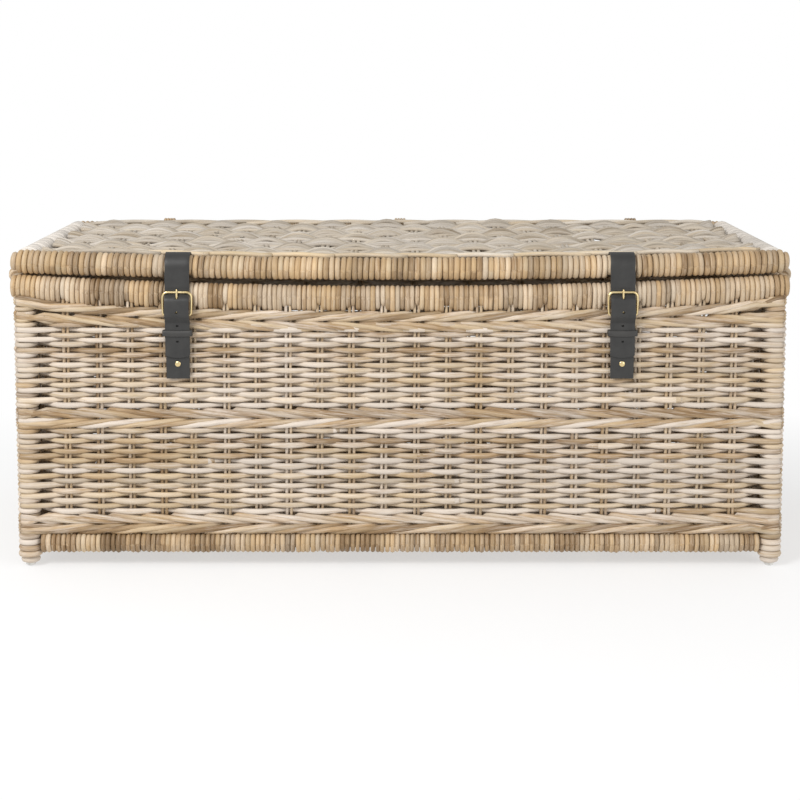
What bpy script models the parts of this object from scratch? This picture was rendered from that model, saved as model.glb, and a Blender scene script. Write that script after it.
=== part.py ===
"""A woven rattan storage trunk with a hinged flat lid and two buckled leather straps.

Metres, +Z up, +X to the right, the straps face -Y. The trunk stands on z = 0.
Every rail, wall and panel is the plain outer shape of its pole with the wrap or weave on it.
The left and right halves are alike, so most pieces are made in pairs by a loop over SIDES.
"""

import math

import bmesh
import bpy
from mathutils import Vector

# ---- driving dimensions ----------------------------------------------------------------------
LENGTH = 1.200
DEPTH = 0.500
HALF_LENGTH = LENGTH / 2
HALF_DEPTH = DEPTH / 2
GAP = 0.0003
WIDE_GAP = 0.0008

# The straps stand further out in front than the hinge loops do behind, so the trunk is set back
# by half of the difference and the origin stays under the middle of the whole object.
TRUNK_Y = 0.0044

POST_R = 0.0185
POST_X = HALF_LENGTH - POST_R
POST_Y = HALF_DEPTH - POST_R
GLIDE_R = 0.0078
GLIDE_HEIGHT = 0.006

BOTTOM_RAIL_R = 0.0145
BOTTOM_RAIL_Z = 0.0395

RIM_R = 0.0165
RIM_Z = 0.4465
RIM_SAG = 0.0165
RIM_THINNING = 0.0020

LID_R = 0.0190
LID_Z = 0.4825
LID_SAG = 0.0120
LID_THINNING = 0.0010
LID_SIDE_R = 0.0185
LID_REAR_R = 0.0175
HINGE_Y = HALF_DEPTH - LID_REAR_R
HINGE_Z = 0.4815

WALL_OUTER = HALF_DEPTH - 0.0025
WALL_THICKNESS = 0.010
PANEL_Z = 0.4905
PANEL_THICKNESS = 0.010
PANEL_FRONT = -0.2085
PANEL_REAR = 0.2065
BASE_Z = 0.0450
BASE_THICKNESS = 0.010

LOOP_X = (("left", -0.42), ("middle", 0.0), ("right", 0.42))
LOOP_WIDTH = 0.020
LOOP_INNER_R = 0.0179
LOOP_THICKNESS = 0.005
LOOP_LOW_Z = 0.4470

BEARER_X = (("left", -0.30), ("middle", 0.0), ("right", 0.30))
BEARER_R = 0.009
BRACE_X = (("left", -0.20), ("right", 0.20))
BRACE_R = 0.008

HANDLE_R = 0.0115
HANDLE_REACH = 0.634
HANDLE_HALF_WIDTH = 0.085
HANDLE_CORNER_R = 0.021
HANDLE_ROOT_LENGTH = 0.0145
HANDLE_ROOT_Z = 0.400
HANDLE_GRIP_Z = 0.4415
BINDING_LENGTH = 0.009
BINDING_THICKNESS = 0.004

STRAP_X = 0.343
STRAP_WIDTH = 0.038
LEATHER = 0.003
STRAP_BEND_TOP = 0.4530
STRAP_BEND_LOW = 0.4430
STRAP_TAIL_Z = 0.4600
BILLET_END_Z = 0.335
BILLET_STRAIGHT_Z = 0.4330
BILLET_ARCH = 0.004
BILLET_TOUCH_Z = 0.386
HOLE_R = 0.0020
HOLE_ZS = (0.3848, 0.3603)
PRONG_SLOT_WIDTH = 0.0052
PRONG_SLOT_ZS = (0.4122, 0.4265)

CHAPE_WIDTH = 0.036
CHAPE_END_Z = 0.302
CHAPE_BACK = -0.2502
CHAPE_SLOT_WIDTH = 0.0060
CHAPE_SLOT_HEIGHT = 0.0135
HEEL_Z = 0.402
BUCKLE_TOP_Z = 0.437
BUCKLE_HALF_WIDTH = 0.022
BUCKLE_TOP_CORNER_R = 0.007
BUCKLE_LOW_CORNER_R = 0.003
BAR_R = 0.0020
PIN_GAP = 0.0003
PRONG_WIDTH = 0.0036
PRONG_THICKNESS = 0.0025
PRONG_EYE_R = 0.0040
PRONG_OVERHANG = 0.0055

KEEPER_LOW_Z = 0.369
KEEPER_HEIGHT = 0.009
KEEPER_HALF_WIDTH = 0.0232
KEEPER_INNER_HALF_WIDTH = 0.0205
KEEPER_LEATHER = 0.0020

RIVET_Z = 0.325
LID_RIVET_Z = 0.467
RIVET_SHANK_R = 0.0016
RIVET_HOLE_R = 0.0019
WASHER_R = 0.0060
WASHER_THICKNESS = 0.0012

# ---- derived places --------------------------------------------------------------------------
SIDES = (("left", -1), ("right", 1))
ENDS = (("front", -1), ("rear", 1))


def sag_share(x):
    """How much of a long rail's sag is reached at x: all of it in the middle, none at the ends."""
    return 1 - (x / HALF_LENGTH) ** 2


def lid_rail_r(x):
    return LID_R - LID_THINNING * sag_share(x)


def lid_rail_centre(x):
    """(y, z) of the lid's front rail, whose front always touches the trunk's front plane."""
    return -HALF_DEPTH + lid_rail_r(x), LID_Z - LID_SAG * sag_share(x)


def rim_r(x):
    return RIM_R - RIM_THINNING * sag_share(x)


def rim_centre(x):
    return -HALF_DEPTH + RIM_R, RIM_Z - RIM_SAG * sag_share(x)


STRAP_RAIL_Y, STRAP_RAIL_Z = lid_rail_centre(STRAP_X)
STRAP_INNER_R = lid_rail_r(STRAP_X) + WIDE_GAP
STRAP_OUTER_R = STRAP_INNER_R + LEATHER
STRAP_BACK = STRAP_RAIL_Y - STRAP_INNER_R
STRAP_FRONT = STRAP_BACK - LEATHER
STRAP_MIDDLE = (STRAP_BACK + STRAP_FRONT) / 2
HEEL_Y = STRAP_FRONT - GAP - BAR_R
# The loose strap's weight lies level with the heel bar, so it hangs from straight above it.
STRAP_HANG_Y = HEEL_Y
CHAPE_FRONT = CHAPE_BACK - LEATHER
CHAPE_LOOP_R = BAR_R + PIN_GAP + 0.0025
BILLET_LOW_BACK = CHAPE_FRONT - GAP
BILLET_LOW_MIDDLE = BILLET_LOW_BACK - LEATHER / 2
BILLET_LOW_FRONT = BILLET_LOW_BACK - LEATHER

# ---- materials -------------------------------------------------------------------------------
FINISHES = {
    "rattan_wrap": ((0.56, 0.43, 0.29), 0.62, 0.0),
    "rattan_weave": ((0.60, 0.48, 0.34), 0.66, 0.0),
    "rattan_lid": ((0.55, 0.46, 0.35), 0.66, 0.0),
    "leather": ((0.045, 0.045, 0.050), 0.55, 0.0),
    "brass": ((0.78, 0.62, 0.33), 0.28, 1.0),
    "bearer_wood": ((0.42, 0.31, 0.20), 0.70, 0.0),
    "glide_plastic": ((0.80, 0.78, 0.74), 0.45, 0.0),
}


def make_finish(name):
    colour, roughness, metallic = FINISHES[name]
    material = bpy.data.materials.new(name)
    material.use_nodes = True
    shader = material.node_tree.nodes["Principled BSDF"]
    shader.inputs["Base Color"].default_value = (*colour, 1.0)
    shader.inputs["Roughness"].default_value = roughness
    shader.inputs["Metallic"].default_value = metallic
    return material


# ---- scene helpers ---------------------------------------------------------------------------
# A profile drawn in (y, z) and thickened along X, one drawn in (x, z) and thickened along Y,
# and a turned piece whose axis points out of the front or into the trunk.
PROFILE_ALONG_X = (math.pi / 2, 0.0, math.pi / 2)
PROFILE_ALONG_Y = (math.pi / 2, 0.0, 0.0)
AXIS_TO_FRONT = (math.pi / 2, 0.0, 0.0)
AXIS_TO_REAR = (-math.pi / 2, 0.0, 0.0)


def start_scene():
    """Empties the scene and returns the trunk's collection, the cutters' one and the finishes."""
    for item in list(bpy.data.objects):
        bpy.data.objects.remove(item)
    scene = bpy.context.scene
    trunk = bpy.data.collections.new("wicker_trunk")
    cutters = bpy.data.collections.new("cutters")
    scene.collection.children.link(trunk)
    scene.collection.children.link(cutters)
    return trunk, cutters, {name: make_finish(name) for name in FINISHES}


TRUNK, CUTTERS, MATERIALS = start_scene()


def make_pivot(name, place):
    """An empty that holds moving pieces, on their joint's axis."""
    pivot = bpy.data.objects.new(name, None)
    pivot.location = place
    pivot.empty_display_size = 0.05
    TRUNK.objects.link(pivot)
    return pivot


BASE_PIVOT = make_pivot("trunk_base", (0.0, TRUNK_Y, 0.0))


def add_piece(name, data, finish, place=(0, 0, 0), turn=(0, 0, 0), pivot=BASE_PIVOT):
    """Links a piece whose place is given in the trunk's frame, under the pivot it moves with."""
    piece = bpy.data.objects.new(name, data)
    data.materials.append(MATERIALS[finish])
    TRUNK.objects.link(piece)
    piece.parent = pivot
    offset = Vector((0, 0, 0)) if pivot is BASE_PIVOT else pivot.location
    piece.location = Vector(place) - offset
    piece.rotation_euler = turn
    return piece


def add_joint_pivot(name, place):
    """An empty on a joint's axis, itself held by the trunk's base empty."""
    pivot = make_pivot(name, place)
    pivot.parent = BASE_PIVOT
    return pivot


def tube_curve(name, points, radii, resolution=4, cyclic=False):
    """A POLY curve through points, as thick as radii says, with closed ends."""
    curve = bpy.data.curves.new(name, "CURVE")
    curve.dimensions = "3D"
    curve.bevel_depth = 1.0
    curve.bevel_resolution = resolution
    curve.use_fill_caps = True
    spline = curve.splines.new("POLY")
    spline.points.add(len(points) - 1)
    for knot, place, radius in zip(spline.points, points, radii):
        knot.co = (*place, 1.0)
        knot.radius = radius
    spline.use_cyclic_u = cyclic
    return curve


def add_pole(name, start, end, radius, finish, pivot=BASE_PIVOT):
    """A straight round pole."""
    middle = (Vector(start) + Vector(end)) / 2
    ends = [Vector(start) - middle, Vector(end) - middle]
    return add_piece(name, tube_curve(name, ends, [radius] * 2), finish, middle, pivot=pivot)


def flat_curve(name, outline, thickness, holes=()):
    """A flat outline with holes, thickened evenly to both sides."""
    curve = bpy.data.curves.new(name, "CURVE")
    curve.dimensions = "2D"
    curve.fill_mode = "BOTH"
    curve.extrude = thickness / 2
    for loop in (outline, *holes):
        spline = curve.splines.new("POLY")
        spline.points.add(len(loop) - 1)
        for knot, (u, v) in zip(spline.points, loop):
            knot.co = (u, v, 0.0, 1.0)
        spline.use_cyclic_u = True
    return curve


def add_profile(name, outline, width, finish, x=0.0, holes=(), pivot=BASE_PIVOT):
    """A piece whose (y, z) outline runs along X for width, centred on x."""
    curve = flat_curve(name, outline, width, holes)
    return add_piece(name, curve, finish, (x, 0, 0), PROFILE_ALONG_X, pivot)


def to_mesh(piece):
    """The same piece as a mesh with its caps welded, so that it can be cut."""
    graph = bpy.context.evaluated_depsgraph_get()
    mesh = bpy.data.meshes.new_from_object(piece.evaluated_get(graph))
    welded = bmesh.new()
    welded.from_mesh(mesh)
    bmesh.ops.remove_doubles(welded, verts=welded.verts, dist=0.00001)
    welded.to_mesh(mesh)
    welded.free()
    name, pivot = piece.name, piece.parent
    place, turn = piece.location.copy(), piece.rotation_euler.copy()
    bpy.data.objects.remove(piece)
    made = bpy.data.objects.new(name, mesh)
    TRUNK.objects.link(made)
    made.parent = pivot
    made.location = place
    made.rotation_euler = turn
    return made


def box_mesh(name, size):
    """A cuboid's mesh, centred on its origin."""
    mesh = bpy.data.meshes.new(name)
    shape = bmesh.new()
    bmesh.ops.create_cube(shape, size=1.0)
    bmesh.ops.scale(shape, vec=size, verts=shape.verts)
    shape.to_mesh(mesh)
    shape.free()
    return mesh


def rod_mesh(name, radius, length, sides=16):
    """A straight cylinder's mesh along Z, centred on its origin."""
    mesh = bpy.data.meshes.new(name)
    shape = bmesh.new()
    bmesh.ops.create_cone(
        shape, cap_ends=True, segments=sides, radius1=radius, radius2=radius, depth=length
    )
    shape.to_mesh(mesh)
    shape.free()
    return mesh


def add_cutter(name, mesh, place, turn=(0, 0, 0)):
    cutter = bpy.data.objects.new(name, mesh)
    CUTTERS.objects.link(cutter)
    cutter.parent = BASE_PIVOT
    cutter.location = place
    cutter.rotation_euler = turn
    cutter.hide_render = True
    cutter.display_type = "WIRE"
    return cutter


def cut(piece, cutter):
    """Takes the cutter's shape out of the piece."""
    step = piece.modifiers.new("cut_" + cutter.name, "BOOLEAN")
    step.operation = "DIFFERENCE"
    step.solver = "EXACT"
    step.object = cutter


def add_turned(name, profile, finish, place, turn=(0, 0, 0), closed=False, pivot=BASE_PIVOT):
    """A turned piece from its (radius, height) profile, listed from the top down."""
    steps = 16
    mesh = bpy.data.meshes.new(name)
    shape = bmesh.new()
    corners = [shape.verts.new((r, 0.0, h)) for r, h in profile]
    for start, end in zip(corners, corners[1:]):
        shape.edges.new((start, end))
    if closed:
        shape.edges.new((corners[-1], corners[0]))
    shape.to_mesh(mesh)
    shape.free()
    piece = add_piece(name, mesh, finish, place, turn, pivot)
    spin = piece.modifiers.new("turn", "SCREW")
    spin.axis = "Z"
    spin.steps = steps
    spin.render_steps = steps
    spin.use_merge_vertices = True
    spin.merge_threshold = 0.00005
    return piece


def arc(centre, radius, start, end, steps):
    """Points on a circle from one angle to another, in degrees, ends included."""
    turns = [math.radians(start + (end - start) * i / steps) for i in range(steps + 1)]
    return [(centre[0] + radius * math.cos(t), centre[1] + radius * math.sin(t)) for t in turns]


def thick_line(points, thickness):
    """The closed outline of a bent strip that follows points, mitred at its bends."""
    left, right = [], []
    for i, place in enumerate(points):
        here = Vector(place)
        into = (here - Vector(points[i - 1])).normalized() if i else None
        out = (Vector(points[i + 1]) - here).normalized() if i + 1 < len(points) else None
        along = ((into or out) + (out or into)).normalized()
        side = Vector((-along.y, along.x))
        reach = thickness / 2 / max(0.5, along.dot(out or into))
        left.append(tuple(here + side * reach))
        right.append(tuple(here - side * reach))
    return left + right[::-1]


# ---- the box ---------------------------------------------------------------------------------
RAIL_STEPS = 12


def long_xs(half):
    return [half * (2 * i / RAIL_STEPS - 1) for i in range(RAIL_STEPS + 1)]


def add_posts():
    """Four wrapped corner posts, a little flared at the foot, each on a nail-on glide."""
    foot = GLIDE_HEIGHT + GAP
    flare = 0.0015
    inner_x = POST_X - POST_R
    rim_bottoms = {"front": rim_centre(inner_x)[1] - rim_r(inner_x), "rear": RIM_Z - RIM_R}
    for end, y_sign in ENDS:
        top = rim_bottoms[end] - GAP
        profile = [
            (0, top),
            (POST_R, top),
            (POST_R, 0.0245),
            (POST_R + flare / 2, 0.018),
            (POST_R + flare, 0.011),
            (POST_R - 0.002, foot),
            (0, foot),
        ]
        for side, x_sign in SIDES:
            place = (x_sign * POST_X, y_sign * POST_Y, 0)
            add_turned(f"post_{end}_{side}", profile, "rattan_wrap", place)
            glide = rod_mesh(f"foot_glide_{end}_{side}", GLIDE_R, GLIDE_HEIGHT)
            raised = (place[0], place[1], GLIDE_HEIGHT / 2)
            add_piece(f"foot_glide_{end}_{side}", glide, "glide_plastic", raised)


def add_bottom_rails():
    """The four wrapped rails between the posts, under the walls."""
    reach_x = POST_X - POST_R - GAP
    reach_y = POST_Y - POST_R - GAP
    for end, sign in ENDS:
        y = sign * (HALF_DEPTH - BOTTOM_RAIL_R)
        ends = (-reach_x, y, BOTTOM_RAIL_Z), (reach_x, y, BOTTOM_RAIL_Z)
        add_pole(f"bottom_rail_{end}", *ends, BOTTOM_RAIL_R, "rattan_wrap")
    for side, sign in SIDES:
        x = sign * (HALF_LENGTH - BOTTOM_RAIL_R)
        ends = (x, -reach_y, BOTTOM_RAIL_Z), (x, reach_y, BOTTOM_RAIL_Z)
        add_pole(f"bottom_rail_{side}", *ends, BOTTOM_RAIL_R, "rattan_wrap")


def add_rim_rails():
    """The four rails of the opening, on top of the posts. The front one sags in its middle."""
    xs = long_xs(HALF_LENGTH)
    points = [(x, *rim_centre(x)) for x in xs]
    front = tube_curve("rim_rail_front", points, [rim_r(x) for x in xs])
    add_piece("rim_rail_front", front, "rattan_wrap")
    ends = (-HALF_LENGTH, HINGE_Y, RIM_Z), (HALF_LENGTH, HINGE_Y, RIM_Z)
    add_pole("rim_rail_rear", *ends, RIM_R, "rattan_wrap")
    for side, sign in SIDES:
        x = sign * (HALF_LENGTH - RIM_R)
        front_end = -HALF_DEPTH + 2 * RIM_R + GAP
        rear_end = HINGE_Y - RIM_R - GAP
        ends = (x, front_end, RIM_Z), (x, rear_end, RIM_Z)
        add_pole(f"rim_rail_{side}", *ends, RIM_R, "rattan_wrap")


def add_walls():
    """Four woven walls between the posts and rails. The front one follows the rim's sag."""
    low = BOTTOM_RAIL_Z + BOTTOM_RAIL_R + GAP
    high = RIM_Z - RIM_R - GAP
    reach_x = POST_X - POST_R - GAP
    reach_y = POST_Y - POST_R - GAP
    middle = WALL_OUTER - WALL_THICKNESS / 2

    top = [(x, rim_centre(x)[1] - rim_r(x) - GAP) for x in long_xs(reach_x)]
    outline = [(-reach_x, low), (reach_x, low), *top[::-1]]
    curve = flat_curve("wall_front", outline, WALL_THICKNESS)
    front = add_piece("wall_front", curve, "rattan_weave", (0, -middle, 0), PROFILE_ALONG_Y)
    front = to_mesh(front)
    for side, sign in SIDES:
        rod = rod_mesh(f"rivet_bore_{side}", RIVET_HOLE_R, 0.04, 12)
        place = (sign * STRAP_X, -middle, RIVET_Z)
        cut(front, add_cutter(f"rivet_bore_{side}", rod, place, AXIS_TO_FRONT))

    size = (2 * reach_x, WALL_THICKNESS, high - low)
    rear = box_mesh("wall_rear", size)
    rear = add_piece("wall_rear", rear, "rattan_weave", (0, middle, (low + high) / 2))
    notch_height = high - (LOOP_LOW_Z - LOOP_INNER_R - LOOP_THICKNESS - 2 * GAP)
    for where, x in LOOP_X:
        notch = box_mesh(f"loop_notch_{where}", (LOOP_WIDTH + 0.001, 0.03, 2 * notch_height))
        cut(rear, add_cutter(f"loop_notch_{where}", notch, (x, middle, high)))

    for side, sign in SIDES:
        wall = box_mesh(f"wall_{side}", (WALL_THICKNESS, 2 * reach_y, high - low))
        x = sign * (HALF_LENGTH - HALF_DEPTH + middle)
        add_piece(f"wall_{side}", wall, "rattan_weave", (x, 0, (low + high) / 2))


def add_base():
    """The woven floor, its corners cut clear of the posts, on three round bearers."""
    corner = 0.012
    half_x = HALF_LENGTH - 2 * BOTTOM_RAIL_R - GAP
    half_y = HALF_DEPTH - 2 * BOTTOM_RAIL_R - GAP
    quarter = [(half_x, half_y - corner), (half_x - corner, half_y)]
    outline = quarter + [(-x, y) for x, y in quarter[::-1]]
    outline += [(-x, -y) for x, y in outline]
    curve = flat_curve("base_panel", outline, BASE_THICKNESS)
    add_piece("base_panel", curve, "rattan_weave", (0, 0, BASE_Z))
    z = BASE_Z - BASE_THICKNESS / 2 - GAP - BEARER_R
    for where, x in BEARER_X:
        ends = (x, -half_y, z), (x, half_y, z)
        add_pole(f"base_bearer_{where}", *ends, BEARER_R, "bearer_wood")


def add_hinge_loops():
    """Closed wrapped rings that hold the lid's rear rail on the rim's, and that it turns in."""
    def ring(radius):
        high = arc((HINGE_Y, HINGE_Z), radius, 0, 180, 12)
        low = arc((HINGE_Y, LOOP_LOW_Z), radius, 180, 360, 12)
        return high + low

    outer = ring(LOOP_INNER_R + LOOP_THICKNESS)
    inner = ring(LOOP_INNER_R)
    for where, x in LOOP_X:
        name = f"hinge_loop_{where}"
        add_profile(name, outer, LOOP_WIDTH, "rattan_wrap", x, [inner])


def handle_points(sign):
    """The handle's middle line: straight out of the wall, round and up to the grip, and back."""
    root_x = HALF_LENGTH - HALF_DEPTH + WALL_OUTER + GAP
    bend_x = HANDLE_REACH - HANDLE_CORNER_R
    bend_y = HANDLE_HALF_WIDTH - HANDLE_CORNER_R
    half = [(root_x, HANDLE_HALF_WIDTH), (root_x + HANDLE_ROOT_LENGTH, HANDLE_HALF_WIDTH)]
    half += arc((bend_x, bend_y), HANDLE_CORNER_R, 90, 0, 6)
    flat = half + [(x, -y) for x, y in half[::-1]]
    straight = half[1][0]
    points = []
    for x, y in flat:
        share = max(0.0, (x - straight) / (HANDLE_REACH - straight))
        rise = share * share * (3 - 2 * share)
        points.append((sign * x, y, HANDLE_ROOT_Z + (HANDLE_GRIP_Z - HANDLE_ROOT_Z) * rise))
    return points


def add_handles():
    """A fixed wrapped handle on each end wall, its two roots bound with a few turns."""
    for side, sign in SIDES:
        points = handle_points(sign)
        curve = tube_curve(f"handle_{side}", points, [HANDLE_R] * len(points))
        add_piece(f"handle_{side}", curve, "rattan_wrap")
        outer_r = HANDLE_R + GAP + BINDING_THICKNESS
        inner_r = HANDLE_R + GAP
        profile = [
            (inner_r, BINDING_LENGTH / 2),
            (outer_r, BINDING_LENGTH / 2),
            (outer_r, -BINDING_LENGTH / 2),
            (inner_r, -BINDING_LENGTH / 2),
        ]
        x = sign * (abs(points[0][0]) + BINDING_LENGTH / 2)
        for end, y_sign in ENDS:
            place = (x, y_sign * HANDLE_HALF_WIDTH, HANDLE_ROOT_Z)
            name = f"handle_binding_{side}_{end}"
            turn = (0, math.pi / 2, 0)
            add_turned(name, profile, "rattan_wrap", place, turn, closed=True)


# ---- the lid ---------------------------------------------------------------------------------
def add_lid(pivot):
    """The lid's frame of four wrapped rails, its woven panel and two braces below it."""
    xs = long_xs(HALF_LENGTH)
    points = [Vector((x, *lid_rail_centre(x))) - pivot.location for x in xs]
    front = tube_curve("lid_rail_front", points, [lid_rail_r(x) for x in xs])
    add_piece("lid_rail_front", front, "rattan_wrap", pivot.location, pivot=pivot)
    ends = (-HALF_LENGTH, HINGE_Y, HINGE_Z), (HALF_LENGTH, HINGE_Y, HINGE_Z)
    add_pole("lid_rail_rear", *ends, LID_REAR_R, "rattan_wrap", pivot)
    front_end = -HALF_DEPTH + 2 * LID_R + GAP
    rear_end = HINGE_Y - LID_REAR_R - GAP
    for side, sign in SIDES:
        x = sign * (HALF_LENGTH - LID_SIDE_R)
        ends = (x, front_end, LID_Z), (x, rear_end, LID_Z)
        add_pole(f"lid_rail_{side}", *ends, LID_SIDE_R, "rattan_wrap", pivot)
    add_lid_panel(pivot)
    add_lid_braces(pivot, rear_end)


def panel_drop(x, y):
    """How far the panel hangs below its level at the hinge: it follows the front rail's sag."""
    share = (PANEL_REAR - y) / (PANEL_REAR - PANEL_FRONT)
    return LID_SAG * sag_share(x) * share


def add_lid_panel(pivot):
    half_x = HALF_LENGTH - 2 * LID_SIDE_R - GAP
    mesh = bpy.data.meshes.new("lid_panel")
    sheet = bmesh.new()
    bmesh.ops.create_grid(sheet, x_segments=RAIL_STEPS, y_segments=2, size=1.0)
    for corner in sheet.verts:
        x = corner.co.x * half_x
        y = PANEL_FRONT + (corner.co.y + 1) / 2 * (PANEL_REAR - PANEL_FRONT)
        z = PANEL_Z - panel_drop(x, y)
        corner.co = Vector((x, y, z)) - pivot.location
    sheet.to_mesh(mesh)
    sheet.free()
    panel = add_piece("lid_panel", mesh, "rattan_lid", pivot.location, pivot=pivot)
    skin = panel.modifiers.new("thickness", "SOLIDIFY")
    skin.thickness = PANEL_THICKNESS
    skin.offset = 0.0


def add_lid_braces(pivot, rear_end):
    """Two round braces from rail to rail, just under the panel."""
    below = PANEL_THICKNESS / 2 + 2 * GAP + BRACE_R
    for where, x in BRACE_X:
        front_end = lid_rail_centre(x)[0] + lid_rail_r(x) + GAP
        ends = [(x, y, PANEL_Z - below - panel_drop(x, y)) for y in (front_end, rear_end)]
        add_pole(f"lid_brace_{where}", *ends, BRACE_R, "bearer_wood", pivot)


# ---- straps and buckles ----------------------------------------------------------------------
def add_lid_strap(side, x, pivot):
    """The strap's fixed part: up behind the lid's front rail, over it and down its front."""
    centre = (STRAP_RAIL_Y, STRAP_RAIL_Z)
    over = arc(centre, STRAP_OUTER_R, 0, 180, 14)
    under = arc(centre, STRAP_INNER_R, 180, 0, 14)
    outline = [(centre[0] + STRAP_OUTER_R, STRAP_TAIL_Z), *over]
    outline += [(STRAP_FRONT, STRAP_BEND_TOP + GAP), (STRAP_BACK, STRAP_BEND_TOP + GAP)]
    outline += [*under, (centre[0] + STRAP_INNER_R, STRAP_TAIL_Z)]
    name = f"lid_strap_{side}"
    strap = to_mesh(add_profile(name, outline, STRAP_WIDTH, "leather", x, pivot=pivot))
    tail_y = centre[0] + STRAP_OUTER_R
    bore = rod_mesh(f"lid_rivet_bore_{side}", RIVET_HOLE_R, 0.012, 12)
    cut(strap, add_cutter(f"lid_rivet_bore_{side}", bore, (x, tail_y, LID_RIVET_Z), AXIS_TO_REAR))
    name = f"lid_strap_rivet_{side}"
    place = (x, tail_y, LID_RIVET_Z)
    add_turned(name, dome_profile(LEATHER + GAP), "brass", place, AXIS_TO_REAR, pivot=pivot)


def dome_profile(shank_length, peened=False):
    """A domed rivet head on its shank. A peened shank ends in a second, smaller head."""
    profile = [(0, 0.0023), (0.0020, 0.0021), (0.0036, 0.0013), (0.0045, GAP)]
    profile += [(RIVET_SHANK_R, GAP), (RIVET_SHANK_R, -shank_length)]
    if peened:
        profile += [(0.0028, -shank_length), (0.0024, -shank_length - 0.0015)]
        return profile + [(0, -shank_length - 0.0018)]
    return profile + [(0, -shank_length)]


def add_strap_bend(side, x, pivot):
    """The short stretch that bends when the lid lifts, hanging from the lid strap's end."""
    outline = [
        (STRAP_FRONT, STRAP_BEND_LOW + GAP),
        (STRAP_BACK, STRAP_BEND_LOW + GAP),
        (STRAP_BACK, STRAP_BEND_TOP),
        (STRAP_FRONT, STRAP_BEND_TOP),
    ]
    add_profile(f"strap_bend_{side}", outline, STRAP_WIDTH, "leather", x, pivot=pivot)


def add_billet(side, x, pivot):
    """The strap's free end: behind the buckle's top bar, over its heel bar and down the chape."""
    over_heel = HEEL_Y - CHAPE_LOOP_R - GAP - LEATHER / 2
    line = [
        (STRAP_MIDDLE, STRAP_BEND_LOW),
        (STRAP_MIDDLE, BILLET_STRAIGHT_Z),
        (over_heel, HEEL_Z + BILLET_ARCH),
        (over_heel, HEEL_Z - BILLET_ARCH),
        (BILLET_LOW_MIDDLE, BILLET_TOUCH_Z),
        (BILLET_LOW_MIDDLE, BILLET_END_Z),
    ]
    outline = thick_line(line, LEATHER)
    name = f"billet_{side}"
    billet = to_mesh(add_profile(name, outline, STRAP_WIDTH, "leather", x, pivot=pivot))
    slot_low, slot_high = PRONG_SLOT_ZS
    slot = box_mesh(f"prong_slot_{side}", (PRONG_SLOT_WIDTH, 0.02, slot_high - slot_low))
    place = (x, STRAP_MIDDLE, (slot_low + slot_high) / 2)
    cut(billet, add_cutter(f"prong_slot_{side}", slot, place))
    for i, z in enumerate(HOLE_ZS):
        rod = rod_mesh(f"strap_hole_{side}_{i}", HOLE_R, 0.02, 10)
        place = (x, BILLET_LOW_MIDDLE, z)
        cut(billet, add_cutter(f"strap_hole_{side}_{i}", rod, place, AXIS_TO_FRONT))


def add_chape(side, x):
    """The strap fixed to the wall, whose top loops round the buckle's heel bar."""
    heel = (HEEL_Y, HEEL_Z)
    outline = [(CHAPE_BACK, CHAPE_END_Z), (CHAPE_BACK, HEEL_Z - BAR_R)]
    outline += arc(heel, CHAPE_LOOP_R, 10, 300, 16)
    outline += [(CHAPE_FRONT, HEEL_Z - CHAPE_LOOP_R), (CHAPE_FRONT, CHAPE_END_Z)]
    bore = arc(heel, BAR_R + PIN_GAP, 0, 360, 16)[:-1]
    name = f"chape_{side}"
    chape = to_mesh(add_profile(name, outline, CHAPE_WIDTH, "leather", x, [bore]))
    slot_size = (CHAPE_SLOT_WIDTH, 0.020, CHAPE_SLOT_HEIGHT)
    slot = box_mesh(f"chape_slot_{side}", slot_size)
    cut(chape, add_cutter(f"chape_slot_{side}", slot, (x, HEEL_Y, HEEL_Z)))
    hole = rod_mesh(f"chape_rivet_bore_{side}", RIVET_HOLE_R, 0.012, 12)
    place = (x, CHAPE_FRONT, RIVET_Z)
    cut(chape, add_cutter(f"chape_rivet_bore_{side}", hole, place, AXIS_TO_FRONT))


def add_wall_rivet(side, x):
    """The rivet through chape and wall, peened over a washer inside the trunk."""
    wall_inside = WALL_THICKNESS - WALL_OUTER - CHAPE_FRONT
    reach = wall_inside + GAP + WASHER_THICKNESS + GAP
    place = (x, CHAPE_FRONT, RIVET_Z)
    add_turned(f"strap_rivet_{side}", dome_profile(reach, True), "brass", place, AXIS_TO_FRONT)
    top = -wall_inside - GAP
    low = top - WASHER_THICKNESS
    ring = [(RIVET_HOLE_R, top), (WASHER_R, top), (WASHER_R, low), (RIVET_HOLE_R, low)]
    add_turned(f"rivet_washer_{side}", ring, "brass", place, AXIS_TO_FRONT, closed=True)


def add_buckle_frame(side, x, pivot):
    """The buckle's rounded frame of brass wire, whose lowest side is the heel bar."""
    top_r, low_r = BUCKLE_TOP_CORNER_R, BUCKLE_LOW_CORNER_R
    half = BUCKLE_HALF_WIDTH
    loop = arc((half - low_r, HEEL_Z + low_r), low_r, -90, 0, 3)
    loop += arc((half - top_r, BUCKLE_TOP_Z - top_r), top_r, 0, 90, 4)
    loop += [(-u, v) for u, v in loop[::-1]]
    points = [Vector((u, 0, v - HEEL_Z)) for u, v in loop]
    curve = tube_curve(f"buckle_frame_{side}", points, [BAR_R] * len(points), 2, True)
    place = (x, HEEL_Y, HEEL_Z)
    add_piece(f"buckle_frame_{side}", curve, "brass", place, pivot=pivot)


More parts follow.
